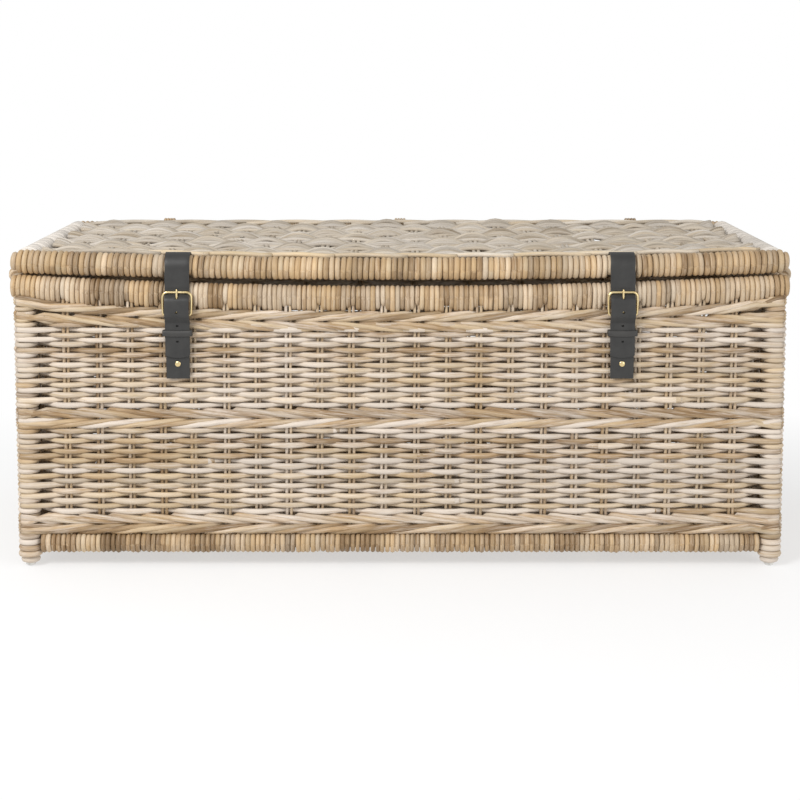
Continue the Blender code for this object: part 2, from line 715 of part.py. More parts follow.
def add_prong(side, x, pivot):
    """The prong: an eye on the heel bar and a tongue that rests on the frame's top bar."""
    eye = (HEEL_Y, HEEL_Z)
    half = PRONG_THICKNESS / 2
    rest_y = HEEL_Y - BAR_R - GAP - half
    shoulder_z = BUCKLE_TOP_Z + 0.0015
    tip_z = BUCKLE_TOP_Z + PRONG_OVERHANG
    outline = arc(eye, PRONG_EYE_R, 115, 425, 14)
    outline += [(rest_y + half, shoulder_z), (rest_y + half * 0.4, tip_z)]
    outline += [(rest_y - half * 0.4, tip_z), (rest_y - half, shoulder_z)]
    bore = arc(eye, BAR_R + PIN_GAP, 0, 360, 16)[:-1]
    add_profile(f"prong_{side}", outline, PRONG_WIDTH, "brass", x, [bore], pivot)


def add_keeper(side, x, pivot):
    """The leather loop that holds the billet down on the chape and slides along them."""
    inner_front = BILLET_LOW_FRONT - GAP
    outer_front = inner_front - KEEPER_LEATHER
    inner_rear = CHAPE_BACK + GAP
    outer_rear = inner_rear + KEEPER_LEATHER

    def ring(half, front, rear):
        return [(-half, front), (half, front), (half, rear), (-half, rear)]

    curve = flat_curve(
        f"keeper_{side}",
        ring(KEEPER_HALF_WIDTH, outer_front, outer_rear),
        KEEPER_HEIGHT,
        [ring(KEEPER_INNER_HALF_WIDTH, inner_front, inner_rear)],
    )
    place = (x, 0, KEEPER_LOW_Z + KEEPER_HEIGHT / 2)
    add_piece(f"keeper_{side}", curve, "leather", place, pivot=pivot)


def add_closures(lid_pivot):
    for side, sign in SIDES:
        x = sign * STRAP_X
        bend_pivot = add_joint_pivot(f"{side}_strap_hang", (x, STRAP_HANG_Y, STRAP_BEND_TOP))
        billet_pivot = add_joint_pivot(f"{side}_billet_swing", (x, STRAP_MIDDLE, STRAP_BEND_LOW))
        heel_pivot = add_joint_pivot(f"{side}_buckle_swing", (x, HEEL_Y, HEEL_Z))
        keeper_place = (x, CHAPE_FRONT, KEEPER_LOW_Z + KEEPER_HEIGHT / 2)
        keeper_pivot = add_joint_pivot(f"{side}_keeper_slide", keeper_place)
        add_lid_strap(side, x, lid_pivot)
        add_strap_bend(side, x, bend_pivot)
        add_billet(side, x, billet_pivot)
        add_chape(side, x)
        add_wall_rivet(side, x)
        add_buckle_frame(side, x, heel_pivot)
        add_prong(side, x, heel_pivot)
        add_keeper(side, x, keeper_pivot)


def shade_round_pieces():
    """Smooth shading with sharp edges kept, on every piece that is a mesh."""
    for piece in TRUNK.objects:
        if piece.type == "MESH":
            piece.data.shade_smooth()
            piece.data.set_sharp_from_angle(angle=math.radians(35))


def main():
    add_posts()
    add_bottom_rails()
    add_rim_rails()
    add_walls()
    add_base()
    add_hinge_loops()
    add_handles()
    lid_pivot = add_joint_pivot("lid_hinge", (0.0, HINGE_Y, HINGE_Z))
    add_lid(lid_pivot)
    add_closures(lid_pivot)
    shade_round_pieces()


main()
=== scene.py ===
"""The looks of the wicker trunk: every rail wrapped and every wall woven strand by strand.

Metres, +Z up, +X to the right, the straps face -Y. Places come from the frame's own boxes.
Strands are round tubes with two mesh attributes that the rattan materials read: "shade" holds a
strand's tone, brightness and wash, and "grain" its place along the strand and round it.
"""

import math

import bmesh
import bpy
import numpy as np
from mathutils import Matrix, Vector


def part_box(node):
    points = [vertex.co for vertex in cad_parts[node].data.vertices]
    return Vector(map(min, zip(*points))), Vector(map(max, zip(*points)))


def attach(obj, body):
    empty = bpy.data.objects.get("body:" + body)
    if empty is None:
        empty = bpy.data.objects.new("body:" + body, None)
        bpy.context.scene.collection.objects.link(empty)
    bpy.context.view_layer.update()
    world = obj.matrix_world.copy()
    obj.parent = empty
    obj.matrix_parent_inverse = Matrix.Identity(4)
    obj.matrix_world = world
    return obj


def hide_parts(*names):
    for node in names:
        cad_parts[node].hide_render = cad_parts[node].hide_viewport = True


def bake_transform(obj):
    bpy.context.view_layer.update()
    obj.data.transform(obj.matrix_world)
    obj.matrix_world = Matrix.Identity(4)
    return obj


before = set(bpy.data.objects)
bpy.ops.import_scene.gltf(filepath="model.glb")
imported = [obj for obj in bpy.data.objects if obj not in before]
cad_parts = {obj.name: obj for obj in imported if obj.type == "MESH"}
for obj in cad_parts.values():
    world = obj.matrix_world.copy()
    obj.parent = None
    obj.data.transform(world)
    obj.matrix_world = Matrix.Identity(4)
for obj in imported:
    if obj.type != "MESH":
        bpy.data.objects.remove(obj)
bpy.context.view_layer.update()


def middle(node):
    low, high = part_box(node)
    return (low + high) / 2


def size(node):
    low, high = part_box(node)
    return high - low


# ---- places read from the frame ----------------------------------------------------------------
TRUNK_Y = middle("wall_left").y
POST_X = middle("post_front_right").x
POST_Y = middle("post_rear_right").y - TRUNK_Y
HALF_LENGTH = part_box("rim_rail_front")[1].x
WALL_OUTER_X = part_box("wall_right")[1].x
WALL_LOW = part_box("wall_left")[0].z
POST_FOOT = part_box("post_front_left")[0].z
RIM_ENDS_Z = middle("rim_rail_rear").z
RIM_R = RIM_ENDS_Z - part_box("rim_rail_rear")[0].z
RIM_FRONT_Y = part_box("rim_rail_front")[0].y + RIM_R
# The front rim and the lid's front rail sag and get thinner towards their middles.
RIM_SAG = 0.0165
RIM_THINNING = 0.0020
LID_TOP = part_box("lid_rail_front")[1].z
LID_R = 0.0190
LID_Z = LID_TOP - LID_R
LID_SAG = 0.0120
LID_THINNING = 0.0010
LID_FRONT_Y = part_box("lid_rail_front")[0].y

POST_R = 0.0185
ROW_PITCH = 0.0079
WEAVER_R = 0.0040
STAKE_R = 0.0025
STAKE_SPREAD = 0.0032
# How far the weavers swing to either side of the stakes.
WEAVE_DEPTH = 0.0052
# The walings: each rod climbs by the rise, each row stands one row height above the one below.
WALE_R = 0.0041
WALE_RISE = 0.0105
WALE_ROW = 0.0155
WALE_START = 0.0072
WALE_CORNER_RISE = 0.0100
# How much further down the rims' and the bottom rails' wraps reach.
RIM_DROP = 0.0070
FRONT_RIM_DROP = 0.0130
BOTTOM_DROP = 0.0035
# The rear wall's weavers are this much taller, and its top rows once more: no daylight shows
# through them in the gap under the lid.
REAR_TIGHT = 1.12
TOP_SNUG = 1.25
SNUG_ROWS = 4
FRONT_STAKES = 22
SIDE_STAKES = 8
CORNER_TO_STAKE = 0.0645
# The bottoms of the three walings and of the two bands of plain weave between them.
WALE_BOTTOMS = (0.0540, 0.2220, 0.3900)
ROWS_LOW = (0.0862, 0.2540)
ROWS = 17

ENDS = ("front", "rear")
SIDES = ("left", "right")
CORNERS = [(end, side) for end in ENDS for side in SIDES]

rng = np.random.default_rng(41)


# ---- strands -----------------------------------------------------------------------------------
def unit(vectors):
    return vectors / np.maximum(np.linalg.norm(vectors, axis=-1, keepdims=True), 1e-12)


def distances(points):
    """How far along an open line each of its points lies."""
    return np.concatenate([[0.0], np.cumsum(np.linalg.norm(np.diff(points, axis=0), axis=1))])


def spread(points, spacing):
    """A closed outline with further points between its own, about spacing apart."""
    points = np.asarray(points, float)
    dense = []
    for here, there in zip(points, np.roll(points, -1, 0)):
        parts = max(1, int(np.linalg.norm(there - here) / spacing))
        dense += [here + (there - here) * k / parts for k in range(parts)]
    return np.array(dense)


def new_object(name, data):
    item = bpy.data.objects.new(name, data)
    bpy.context.scene.collection.objects.link(item)
    return item


def show(name, mesh, material):
    """A new object in the scene with its one material."""
    mesh.materials.append(material)
    return new_object(name, mesh)


def from_bmesh(name, shape, material, sharp=50):
    """A smooth object from a bmesh, creased where faces meet at more than sharp degrees."""
    bmesh.ops.recalc_face_normals(shape, faces=shape.faces)
    mesh = bpy.data.meshes.new(name)
    shape.to_mesh(mesh)
    shape.free()
    mesh.shade_smooth()
    mesh.set_sharp_from_angle(angle=math.radians(sharp))
    return show(name, mesh, material)


class Strands:
    """Round strands that are gathered into one mesh."""

    def __init__(self):
        self.places, self.shades, self.grains = [], [], []
        self.quads, self.caps = [], []
        self.count = 0

    def add(self, points, radius, up, shade, sides=6, width=None, closed=False, turn=0.0):
        """One strand through points. radius is its half thickness along up, width across it."""
        points = np.asarray(points, float)
        n = len(points)
        radius = np.broadcast_to(np.asarray(radius, float), n)
        width = radius if width is None else np.broadcast_to(np.asarray(width, float), n)
        if closed:
            along = unit(np.roll(points, -1, 0) - np.roll(points, 1, 0))
        else:
            along = unit(np.gradient(points, axis=0))
        up = np.broadcast_to(np.asarray(up, float), points.shape)
        out = unit(up - along * np.sum(up * along, axis=1, keepdims=True))
        across = np.cross(along, out)
        angles = turn + np.arange(sides) * 2 * math.pi / sides
        ring = (
            points[:, None, :]
            + (radius[:, None] * np.cos(angles))[:, :, None] * out[:, None, :]
            + (width[:, None] * np.sin(angles))[:, :, None] * across[:, None, :]
        )
        grain = np.empty((n, sides, 3))
        grain[..., 0] = (distances(points) + rng.uniform(0, 40))[:, None]
        grain[..., 1] = np.cos(angles)
        grain[..., 2] = np.sin(angles)
        self.places.append(ring.reshape(-1, 3))
        self.grains.append(grain.reshape(-1, 3))
        self.shades.append(np.broadcast_to(np.asarray(shade, float), (n * sides, 3)))
        index = self.count + np.arange(n * sides).reshape(n, sides)
        first = index if closed else index[:-1]
        second = np.roll(index, -1, 0) if closed else index[1:]
        first_next = np.roll(first, -1, 1)
        second_next = np.roll(second, -1, 1)
        self.quads.append(np.stack([first, first_next, second_next, second], -1).reshape(-1, 4))
        if not closed:
            self.caps.append(index[0][::-1])
            self.caps.append(index[-1])
        self.count += n * sides

    def build(self, name, material, body, replaced=()):
        mesh = bpy.data.meshes.new(name)
        places = np.concatenate(self.places).astype(np.float32)
        quads = np.concatenate(self.quads)
        corners = np.concatenate([quads.ravel(), *self.caps]).astype(np.int32)
        sizes = np.concatenate([np.full(len(quads), 4), [len(cap) for cap in self.caps]])
        starts = np.concatenate([[0], np.cumsum(sizes)[:-1]]).astype(np.int32)
        mesh.vertices.add(len(places))
        mesh.vertices.foreach_set("co", places.ravel())
        mesh.loops.add(len(corners))
        mesh.loops.foreach_set("vertex_index", corners)
        mesh.polygons.add(len(sizes))
        mesh.polygons.foreach_set("loop_start", starts)
        mesh.update(calc_edges=True)
        for key, rows in (("shade", self.shades), ("grain", self.grains)):
            layer = mesh.attributes.new(key, "FLOAT_VECTOR", "POINT")
            layer.data.foreach_set("vector", np.concatenate(rows).astype(np.float32).ravel())
        smooth = np.ones(len(sizes), bool)
        smooth[len(quads):] = False
        mesh.polygons.foreach_set("use_smooth", smooth)
        mesh.validate()
        finish_piece(show(name, mesh, material), body, replaced)


def finish_piece(piece, body, replaced=()):
    """Attaches a finished piece to the body it moves with and hides the parts it replaces."""
    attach(piece, body)
    if replaced:
        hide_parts(*replaced)


def strand_shade(tone=0.5, wash=0.25, spread=0.22):
    """A strand's (tone, brightness, wash), each drawn round its middle value."""
    return (
        np.clip(rng.normal(tone, spread), 0, 1),
        np.clip(rng.normal(0.5, 0.2), 0, 1),
        np.clip(rng.normal(wash, 0.25), 0, 1),
    )


def ease(t):
    """From 0 to 1 with level ends."""
    t = np.clip(t, 0, 1)
    return t * t * (3 - 2 * t)


# ---- materials ---------------------------------------------------------------------------------
class Nodes:
    """Short ways to add shader nodes. Every input takes a number, a tuple or another output."""

    def __init__(self, tree):
        self.tree = tree

    def put(self, socket, value):
        if isinstance(value, bpy.types.NodeSocket):
            self.tree.links.new(value, socket)
        else:
            socket.default_value = value

    def add(self, kind, inputs, **settings):
        node = self.tree.nodes.new("ShaderNode" + kind)
        for key, value in settings.items():
            setattr(node, key, value)
        for key, value in inputs.items():
            self.put(node.inputs[key], value)
        return node

    def maths(self, operation, *values, clamp=False):
        inputs = dict(enumerate(values))
        return self.add("Math", inputs, operation=operation, use_clamp=clamp).outputs[0]

    def noise(self, vector, scale, detail=2.0, roughness=0.5, stretch=None):
        if stretch:
            vector = self.add("Mapping", {"Vector": vector, "Scale": stretch}).outputs[0]
        inputs = {"Vector": vector, "Scale": scale, "Detail": detail, "Roughness": roughness}
        return self.add("TexNoise", inputs).outputs["Fac"]

    def ramp(self, value, stops):
        node = self.add("ValToRGB", {"Fac": value})
        marks = node.color_ramp.elements
        while len(marks) < len(stops):
            marks.new(0.5)
        for mark, (place, colour) in zip(marks, stops):
            mark.position = place
            mark.color = (*colour, 1.0)
        return node.outputs["Color"]

    def mix(self, share, first, second, blend="MIX"):
        inputs = {0: share, 6: first, 7: second}
        node = self.add("Mix", {}, data_type="RGBA", blend_type=blend)
        for key, value in inputs.items():
            self.put(node.inputs[key], (*value, 1.0) if isinstance(value, tuple) else value)
        return node.outputs[2]

    def attribute(self, name):
        return self.add("Attribute", {}, attribute_name=name).outputs

    def place(self):
        return self.add("TexCoord", {}).outputs["Object"]

    def surface(self, colour, roughness, relief=None, strength=0.0):
        """Feeds the material's shader, relief through a fine bump, and returns the shader."""
        shader = self.tree.nodes["Principled BSDF"]
        self.put(shader.inputs["Base Color"], colour)
        self.put(shader.inputs["Roughness"], roughness)
        if relief:
            inputs = {"Height": relief, "Strength": strength, "Distance": BUMP_HEIGHT}
            self.put(shader.inputs["Normal"], self.add("Bump", inputs).outputs["Normal"])
        return shader


BUMP_HEIGHT = 0.0006


def new_material(name):
    material = bpy.data.materials.new(name)
    material.use_nodes = True
    return material, Nodes(material.node_tree)


def make_rattan(name, palette, washed, wash_share, roughness):
    """Peeled rattan core: tone drifts along each strand, with fibre streaks, specks and wash."""
    material, nodes = new_material(name)
    maths = nodes.maths
    shade = nodes.add("SeparateXYZ", {0: nodes.attribute("shade")["Vector"]})
    tone, light, wash = shade.outputs
    along = nodes.attribute("grain")["Vector"]
    drift = nodes.noise(along, 1.0, stretch=(9.0, 0.25, 0.25))
    streaks = nodes.noise(along, 1.6, 3.0, 0.6, (28.0, 3.2, 3.2))
    fibres = nodes.noise(along, 1.8, 2.0, 0.6, (60.0, 7.0, 7.0))
    specks = nodes.noise(along, 1.0, 1.0, stretch=(420.0, 2.4, 2.4))
    rubbed = nodes.noise(along, 1.5, 3.0, 0.65, (22.0, 1.4, 1.4))
    patches = nodes.noise(nodes.place(), 7.0, 3.0, 0.6)

    shifted = maths("MULTIPLY_ADD", drift, 1.5, maths("SUBTRACT", tone, 0.75))
    shifted = maths("MULTIPLY_ADD", streaks, 0.5, maths("SUBTRACT", shifted, 0.25))
    colour = nodes.ramp(shifted, palette)

    # The lime wash has rubbed off along the strands and lies thicker in some patches.
    share = maths("ADD", wash, maths("MULTIPLY", patches, 0.9))
    share = maths("MULTIPLY_ADD", rubbed, 1.5, share)
    share = maths("MULTIPLY", maths("SUBTRACT", share, 1.15), wash_share, clamp=True)
    colour = nodes.mix(share, colour, washed)

    spot = maths("MULTIPLY", maths("GREATER_THAN", specks, 0.735),
                 maths("GREATER_THAN", rubbed, 0.52))
    bright = maths("MULTIPLY_ADD", light, 0.42, 0.79)
    bright = maths("MULTIPLY", bright, maths("MULTIPLY_ADD", streaks, 0.5, 0.75))
    bright = maths("MULTIPLY", bright, maths("MULTIPLY_ADD", spot, -0.38, 1.0))
    grey = nodes.add("CombineXYZ", dict.fromkeys(range(3), bright))
    colour = nodes.mix(1.0, colour, grey.outputs[0], "MULTIPLY")

    ridges = maths("MULTIPLY_ADD", fibres, 0.6, maths("MULTIPLY", streaks, 0.6))
    rough = maths("MULTIPLY_ADD", streaks, 0.3, roughness - 0.15)
    shader = nodes.surface(colour, rough, ridges, 0.55)
    shader.inputs["Specular IOR Level"].default_value = 0.45
    return material


TAN = (0.38, 0.255, 0.135)
DARK_TAN = (0.23, 0.140, 0.065)
GOLD = (0.49, 0.335, 0.175)
PALE = (0.49, 0.375, 0.235)
CREAM = (0.57, 0.465, 0.345)
MILKY = (0.62, 0.54, 0.46)
GREIGE = (0.43, 0.36, 0.27)
DULL = (0.30, 0.235, 0.16)

WRAP = make_rattan(
    "rattan_wrap", [(0.0, DARK_TAN), (0.3, TAN), (0.62, GOLD), (1.0, PALE)], CREAM, 1.3, 0.55,
)
WEAVE = make_rattan(
    "rattan_weave", [(0.0, DARK_TAN), (0.25, TAN), (0.6, PALE), (1.0, CREAM)], MILKY, 1.5, 0.58,
)
LID_WEAVE = make_rattan(
    "rattan_lid",
    [(0.0, DULL), (0.35, GREIGE), (0.75, (0.50, 0.43, 0.34)), (1.0, (0.55, 0.48, 0.38))],
    (0.55, 0.50, 0.44), 1.2, 0.62,
)
# The lid's side rails: paler and more heavily washed than the other wraps, partly the real lime
# wash and partly a painted highlight of the light from above on their tops.
EDGE_WRAP_WASH_AND_HIGHLIGHT = make_rattan(
    "rattan_edge_wash_and_highlight",
    [(0.0, TAN), (0.4, GOLD), (0.75, CREAM), (1.0, (0.62, 0.55, 0.47))],
    (0.66, 0.61, 0.55), 1.6, 0.55,
)
LID_BORDER = make_rattan(
    "rattan_border",
    [(0.0, DULL), (0.4, GREIGE), (0.75, (0.55, 0.43, 0.28)), (1.0, (0.60, 0.47, 0.29))],
    (0.60, 0.54, 0.46), 1.3, 0.55,
)
POLE = make_rattan(
    "rattan_pole",
    [(0.0, (0.25, 0.16, 0.08)), (0.5, (0.40, 0.28, 0.15)), (1.0, (0.52, 0.40, 0.24))],
    GREIGE, 0.5, 0.6,
)


# ---- woven walls -------------------------------------------------------------------------------
def sag_share(x):
    return 1 - (x / HALF_LENGTH) ** 2


def joined(count, margin, share):
    """The slices of a strand of count points: one, or two that overlap where it was joined."""
    if rng.random() >= share:
        return [slice(0, count)]
    cut = rng.integers(margin, count - margin)
    return [slice(0, cut + 1), slice(cut - 1, count)]


def wander(at, amount, knots):
    """A line's smooth random drift at the places given."""
    return np.interp(at, np.linspace(at[0], at[-1], knots), rng.normal(0, amount, knots))


class Wall:
    """One side of the trunk, with u to the right seen from outside, w outwards and z up."""

    def __init__(self, right, out, half, reach, stakes, offset, sagging=False, tight=1.0):
        self.right = np.array(right, float)
        self.out = np.array(out, float)
        self.half = half
        self.reach = reach
        self.offset = offset
        self.sagging = sagging
        self.tight = tight
        first = -half + CORNER_TO_STAKE
        self.spacing = (2 * half - 2 * CORNER_TO_STAKE) / (stakes - 1)
        self.stakes = first + self.spacing * np.arange(stakes)
        # The stakes lean and wander a little.
        self.stakes = self.stakes + rng.normal(0, 0.0011, stakes)

    def world(self, u, w, z):
        u, w, z = np.broadcast_arrays(u, w, z)
        flat = u[..., None] * self.right + (self.reach + w)[..., None] * self.out
        flat = flat + np.array([0, TRUNK_Y, 0])
        flat[..., 2] = z
        return flat

    def place(self, index):
        """A stake's u, also for the places just past either end."""
        inside = np.clip(index, 0, len(self.stakes) - 1).astype(int)
        return self.stakes[inside] + (index - inside) * self.spacing

    def top_drop(self, u):
        """How far the front rim hangs below its ends."""
        return RIM_SAG * sag_share(u) if self.sagging else np.zeros_like(u)


# The stakes stand this far outside the posts' middle line.
STAKE_PLANE = WALL_OUTER_X - POST_X - WEAVER_R - WEAVE_DEPTH - 0.0005
CORNER_R = POST_R - WEAVER_R
DIAGONAL = math.sqrt(0.5)


def corner_path(half, behind, w_start, u_start):
    """(u, w) from the left corner to the first stake. Behind means inside of the post."""
    if behind:
        inner = (POST_R + WEAVER_R) * DIAGONAL
        start = np.array([-half + inner, -inner])
        first = start + np.array([0.006, 0.006])
    else:
        angles = np.radians([135, 118, 101])
        start = np.stack([-half + CORNER_R * np.cos(angles), CORNER_R * np.sin(angles)], 1)
        first = np.array([-half + 0.004, CORNER_R * 0.995])
    share = np.linspace(0, 1, 5)[:-1]
    u = first[0] + (u_start - first[0]) * share
    w = first[1] + (w_start - first[1]) * ease(share) if not behind else (
        first[1] + (w_start - first[1]) * np.sin(share * math.pi / 2)
    )
    path = np.stack([u, w], 1)
    return np.concatenate([np.atleast_2d(start), path])


def row_path(wall, swing):
    """(u, w) of a weaver that swings out at every stake where swing is positive."""
    stakes = wall.stakes
    w_at = STAKE_PLANE + swing * WEAVE_DEPTH
    left = corner_path(wall.half, swing[0] > 0, w_at[0], stakes[0])
    right = corner_path(wall.half, swing[-1] > 0, w_at[-1], -stakes[-1])
    right[:, 0] *= -1
    share = np.array([0.0, 0.2, 0.4, 0.6, 0.8])
    smooth = share - np.sin(2 * math.pi * share) / (2 * math.pi) * 0.75
    inner = []
    for k in range(len(stakes) - 1):
        u = stakes[k] + (stakes[k + 1] - stakes[k]) * share
        inner.append(np.stack([u, w_at[k] + (w_at[k + 1] - w_at[k]) * smooth], 1))
    last = np.array([[stakes[-1], w_at[-1]]])
    return np.concatenate([left, *inner, last, right[::-1]])


def add_rows(strands, wall, bottom):
    """Plain weave: each row in front of every other stake, the next row the other way round."""
    snug = wall.tight > 1 and bottom == ROWS_LOW[-1]
    for row in range(ROWS + int(snug)):
        tight = wall.tight * (TOP_SNUG if snug and row >= ROWS - SNUG_ROWS else 1)
        index = np.arange(len(wall.stakes))
        swing = np.where((index + row + wall.offset) % 2 == 0, 1.0, -1.0)
        swing *= np.minimum(rng.normal(0.98, 0.05, len(index)), 1.0)
        path = row_path(wall, swing)
        z = bottom + ROW_PITCH * (row + 0.5) + rng.normal(0, 0.0003)
        knots = np.linspace(-wall.half, wall.half, 12)
        drift = np.interp(path[:, 0], knots, rng.normal(0, 0.0006, 12))
        # Where a weaver lies in front it is pressed wider by the ones behind.
        forward = np.clip((path[:, 1] - STAKE_PLANE) / WEAVE_DEPTH, -1, 1)
        r = WEAVER_R * rng.normal(1, 0.05)
        radius = r * (1 + np.interp(path[:, 0], knots, rng.normal(0, 0.05, 12)))
        width = radius * (1.07 + 0.12 * forward) * tight
        points = wall.world(path[:, 0], path[:, 1], z + drift)
        for part in joined(len(points), 12, 0.75):
            strands.add(
                points[part], radius[part] * 0.98, wall.out,
                strand_shade(0.52, 0.28), 6, width[part],
            )


def add_wale(strands, wall, level, rising, top=False):
    """A three-rod wale: each rod in front of two stakes and behind one, climbing as it goes."""
    stakes = wall.stakes
    for rod in range(3):
        index = np.arange(-1, len(stakes) + 1)
        shift = (rod + wall.offset) % 3
        fine = np.linspace(-0.85, len(stakes) - 0.15, (len(stakes) + 1) * 5)
        u = np.interp(fine, index, wall.place(index))
        phase = ((fine + shift + 1) / 3) % 1.0
        # Behind a stake at phase 0, in front from a sixth to five sixths of the cycle.
        lift = np.sin(np.clip((phase - 0.07) / 0.86, 0, 1) * math.pi) ** 0.42
        w = STAKE_PLANE - WEAVE_DEPTH * 0.85 + lift * (WEAVE_DEPTH * 1.85)
        climb = ease((phase - 0.06) / 0.88) - 0.5
        climb = np.where(phase < 0.06, 0.5 - phase / 0.06 * 0.5, climb)
        climb = np.where(phase > 0.94, 0.5 * (1 - (phase - 0.94) / 0.06), climb)
        z = level + WALE_RISE * climb * rising
        slot = level + (rod - 1) * 0.0047
        z, w, u = join_corners(wall, u, w, z, slot)
        if top:
            z = z - wall.top_drop(u)
            end_gap = wall.half - np.abs(u)
            if level > WALE_BOTTOMS[-1] + WALE_ROW:
                z = z + WALE_CORNER_RISE * np.exp(-np.maximum(end_gap, 0) / 0.045)
        points = wall.world(u, w, z + rng.normal(0, 0.0002, len(z)))
        r = WALE_R * rng.normal(1, 0.04)
        # The walings below the top one take a darker tone than it: painted shade.
        tone = 0.33 if top else 0.25
        strands.add(points, r, wall.out, strand_shade(tone, 0.02), 6, r * 1.08 * wall.tight)


def join_corners(wall, u, w, z, slot):
    """Lets a waling rod run round the outside of both corner posts at its slot's height."""
    angles = np.radians([135, 120, 105, 92])
    corner_u = CORNER_R * np.cos(angles)
    corner_w = CORNER_R * np.sin(angles)
    near = (u > -wall.half + 0.030) & (u < wall.half - 0.030)
    u, w, z = u[near], w[near], z[near]
    left = (-wall.half + corner_u, corner_w, np.full(4, slot))
    right = (wall.half - corner_u[::-1], corner_w[::-1], np.full(4, slot))
    u = np.concatenate([left[0], u, right[0]])
    w = np.concatenate([left[1], w, right[1]])
    z = np.concatenate([left[2], z, right[2]])
    return z, w, u


def add_stakes(strands, wall):
    """Pairs of thin upright stakes from the bottom rail up into the rim."""
    for u in wall.stakes:
        top = RIM_ENDS_Z - RIM_R + 0.004 - float(wall.top_drop(np.array(u)))
        for side in (-1, 1):
            z = np.linspace(WALL_LOW - 0.006, top, 6)
            sway = rng.normal(0, 0.00025, 6)
            points = wall.world(u + side * STAKE_SPREAD + sway, STAKE_PLANE, z)
            radius = STAKE_R * rng.normal(1, 0.05)
            strands.add(points, radius, wall.out, strand_shade(0.40, 0.0, 0.15), 6)


def add_wall(name, *facts, **options):
    wall = Wall(*facts, **options)
    strands = Strands()
    add_stakes(strands, wall)
    for bottom in ROWS_LOW:
        add_rows(strands, wall, bottom)
    directions = ((1, -1), (1, -1), (-1, 1))
    for bottom, (low, high) in zip(WALE_BOTTOMS, directions):
        is_top = bottom == WALE_BOTTOMS[-1]
        add_wale(strands, wall, bottom + WALE_START, low, is_top)
        add_wale(strands, wall, bottom + WALE_START + WALE_ROW, high, is_top)
    strands.build("weave_" + name, WEAVE, "trunk", ["wall_" + name])
    return wall


WALLS = {
    "front": add_wall("front", (1, 0, 0), (0, -1, 0), POST_X, POST_Y, FRONT_STAKES, 0,
                      sagging=True),
    "right": add_wall("right", (0, 1, 0), (1, 0, 0), POST_Y, POST_X, SIDE_STAKES, 1),
    "rear": add_wall("rear", (-1, 0, 0), (0, 1, 0), POST_X, POST_Y, FRONT_STAKES, 0,
                     tight=REAR_TIGHT),
    "left": add_wall("left", (0, -1, 0), (-1, 0, 0), POST_Y, POST_X, SIDE_STAKES, 1),
}


# ---- wrapped rails, posts and handles ----------------------------------------------------------
SADDLE_DEPTH = 0.0048
SADDLE_HALF_WIDTH = 0.0225
FOOT_RINGS = 5
LUMP_PITCH = 0.0292
LUMP_TURNS = 4
# The rows, even or odd, that pass inside each post.
INSIDE_ROWS = {
    ("front", "left"): 0,
    ("front", "right"): 1,
    ("rear", "right"): 0,
    ("rear", "left"): 1,
}


def add_turn(strands, centre, along, radius, thickness, half_pitch, shade, lean=0.0, steps=20,
             sides=8, drop=0.0):
    """One turn of wrap: a closed ring round centre, in the plane that along is square to.
    drop draws its lower half further down, where the wrap also takes in the weave's top."""
    along = unit(np.asarray(along, float))
    helper = np.array([0, 0, 1.0]) if abs(along[2]) < 0.9 else np.array([1.0, 0, 0])
    first = unit(np.cross(along, helper))
    second = np.cross(first, along)
    angles = np.arange(steps) * 2 * math.pi / steps
    direction = np.cos(angles)[:, None] * first + np.sin(angles)[:, None] * second
    r = radius - thickness
    offset = lean * r * np.sin(angles)
    points = centre + direction * r + offset[:, None] * along
    points[:, 2] += drop * np.minimum(direction[:, 2], 0)
    strands.add(points, thickness, direction, shade, sides, half_pitch, closed=True)


def wrap_rail(strands, path, radius_at, length, pitch, thickness, tone, wash, closed_ends=True,
              lean=0.02, steps=20, sides=8, round_end=0.012, drop=lambda s: 0.0):
    """Turns of wrap along path(s), s from 0 to length, over a plain core."""
    count = int(round(length / pitch))
    pitch = length / count
    run = strand_shade(tone, wash)
    for i in range(count):
        s = (i + 0.5) * pitch
        centre = path(s)
        along = path(s + 0.002) - path(s - 0.002)
        if rng.random() < 0.45:
            run = strand_shade(tone, wash)
        radius = radius_at(s) + rng.normal(0, 0.00025)
        end_gap = min(s, length - s)
        if closed_ends and end_gap < round_end:
            share = 1 - end_gap / round_end
            radius *= math.sqrt(max(0.12, 1 - 0.75 * share * share))
        tilt = rng.normal(lean, 0.02)
        half_width = pitch * 0.5 * rng.normal(1.04, 0.05)
        shift = unit(along) * rng.normal(0, pitch * 0.03)
        fall = drop(s) * rng.normal(1, 0.10)
        add_turn(strands, centre + shift, along, radius, thickness * rng.normal(1, 0.05),
                 half_width, jitter_shade(run), tilt, steps, sides, fall)
    knots = np.linspace(pitch * 0.4, length - pitch * 0.4, 24)
    core = np.array([path(s) for s in knots])
    core_r = np.array([radius_at(s) - thickness * 1.25 for s in knots])
    core_r[[0, -1]] *= 0.8
    strands.add(core, core_r, (0.0, 0.1, 1.0), (0.1, 0.3, 0.0), 10)


def jitter_shade(shade):
    """A shade close to the one given, for the next turn of the same strand."""
    return tuple(np.clip(np.array(shade) + rng.normal(0, (0.08, 0.12, 0.06)), 0, 1))


def straight(start, end):
    """A straight line as a function of the distance along it, and its length."""
    start, end = np.array(start, float), np.array(end, float)
    length = float(np.linalg.norm(end - start))
    return (lambda s: start + (end - start) * (s / length)), length


def rim_front(s):
    x = s - HALF_LENGTH
    return np.array([x, RIM_FRONT_Y, RIM_ENDS_Z - RIM_SAG * sag_share(x)])


def lid_front(s):
    x = s - HALF_LENGTH
    return np.array([x, LID_FRONT_Y + lid_front_r(s), LID_Z - LID_SAG * sag_share(x)])


def lid_front_r(s):
    return LID_R - LID_THINNING * sag_share(s - HALF_LENGTH)


def rim_front_r(s):
    return RIM_R - RIM_THINNING * sag_share(s - HALF_LENGTH)


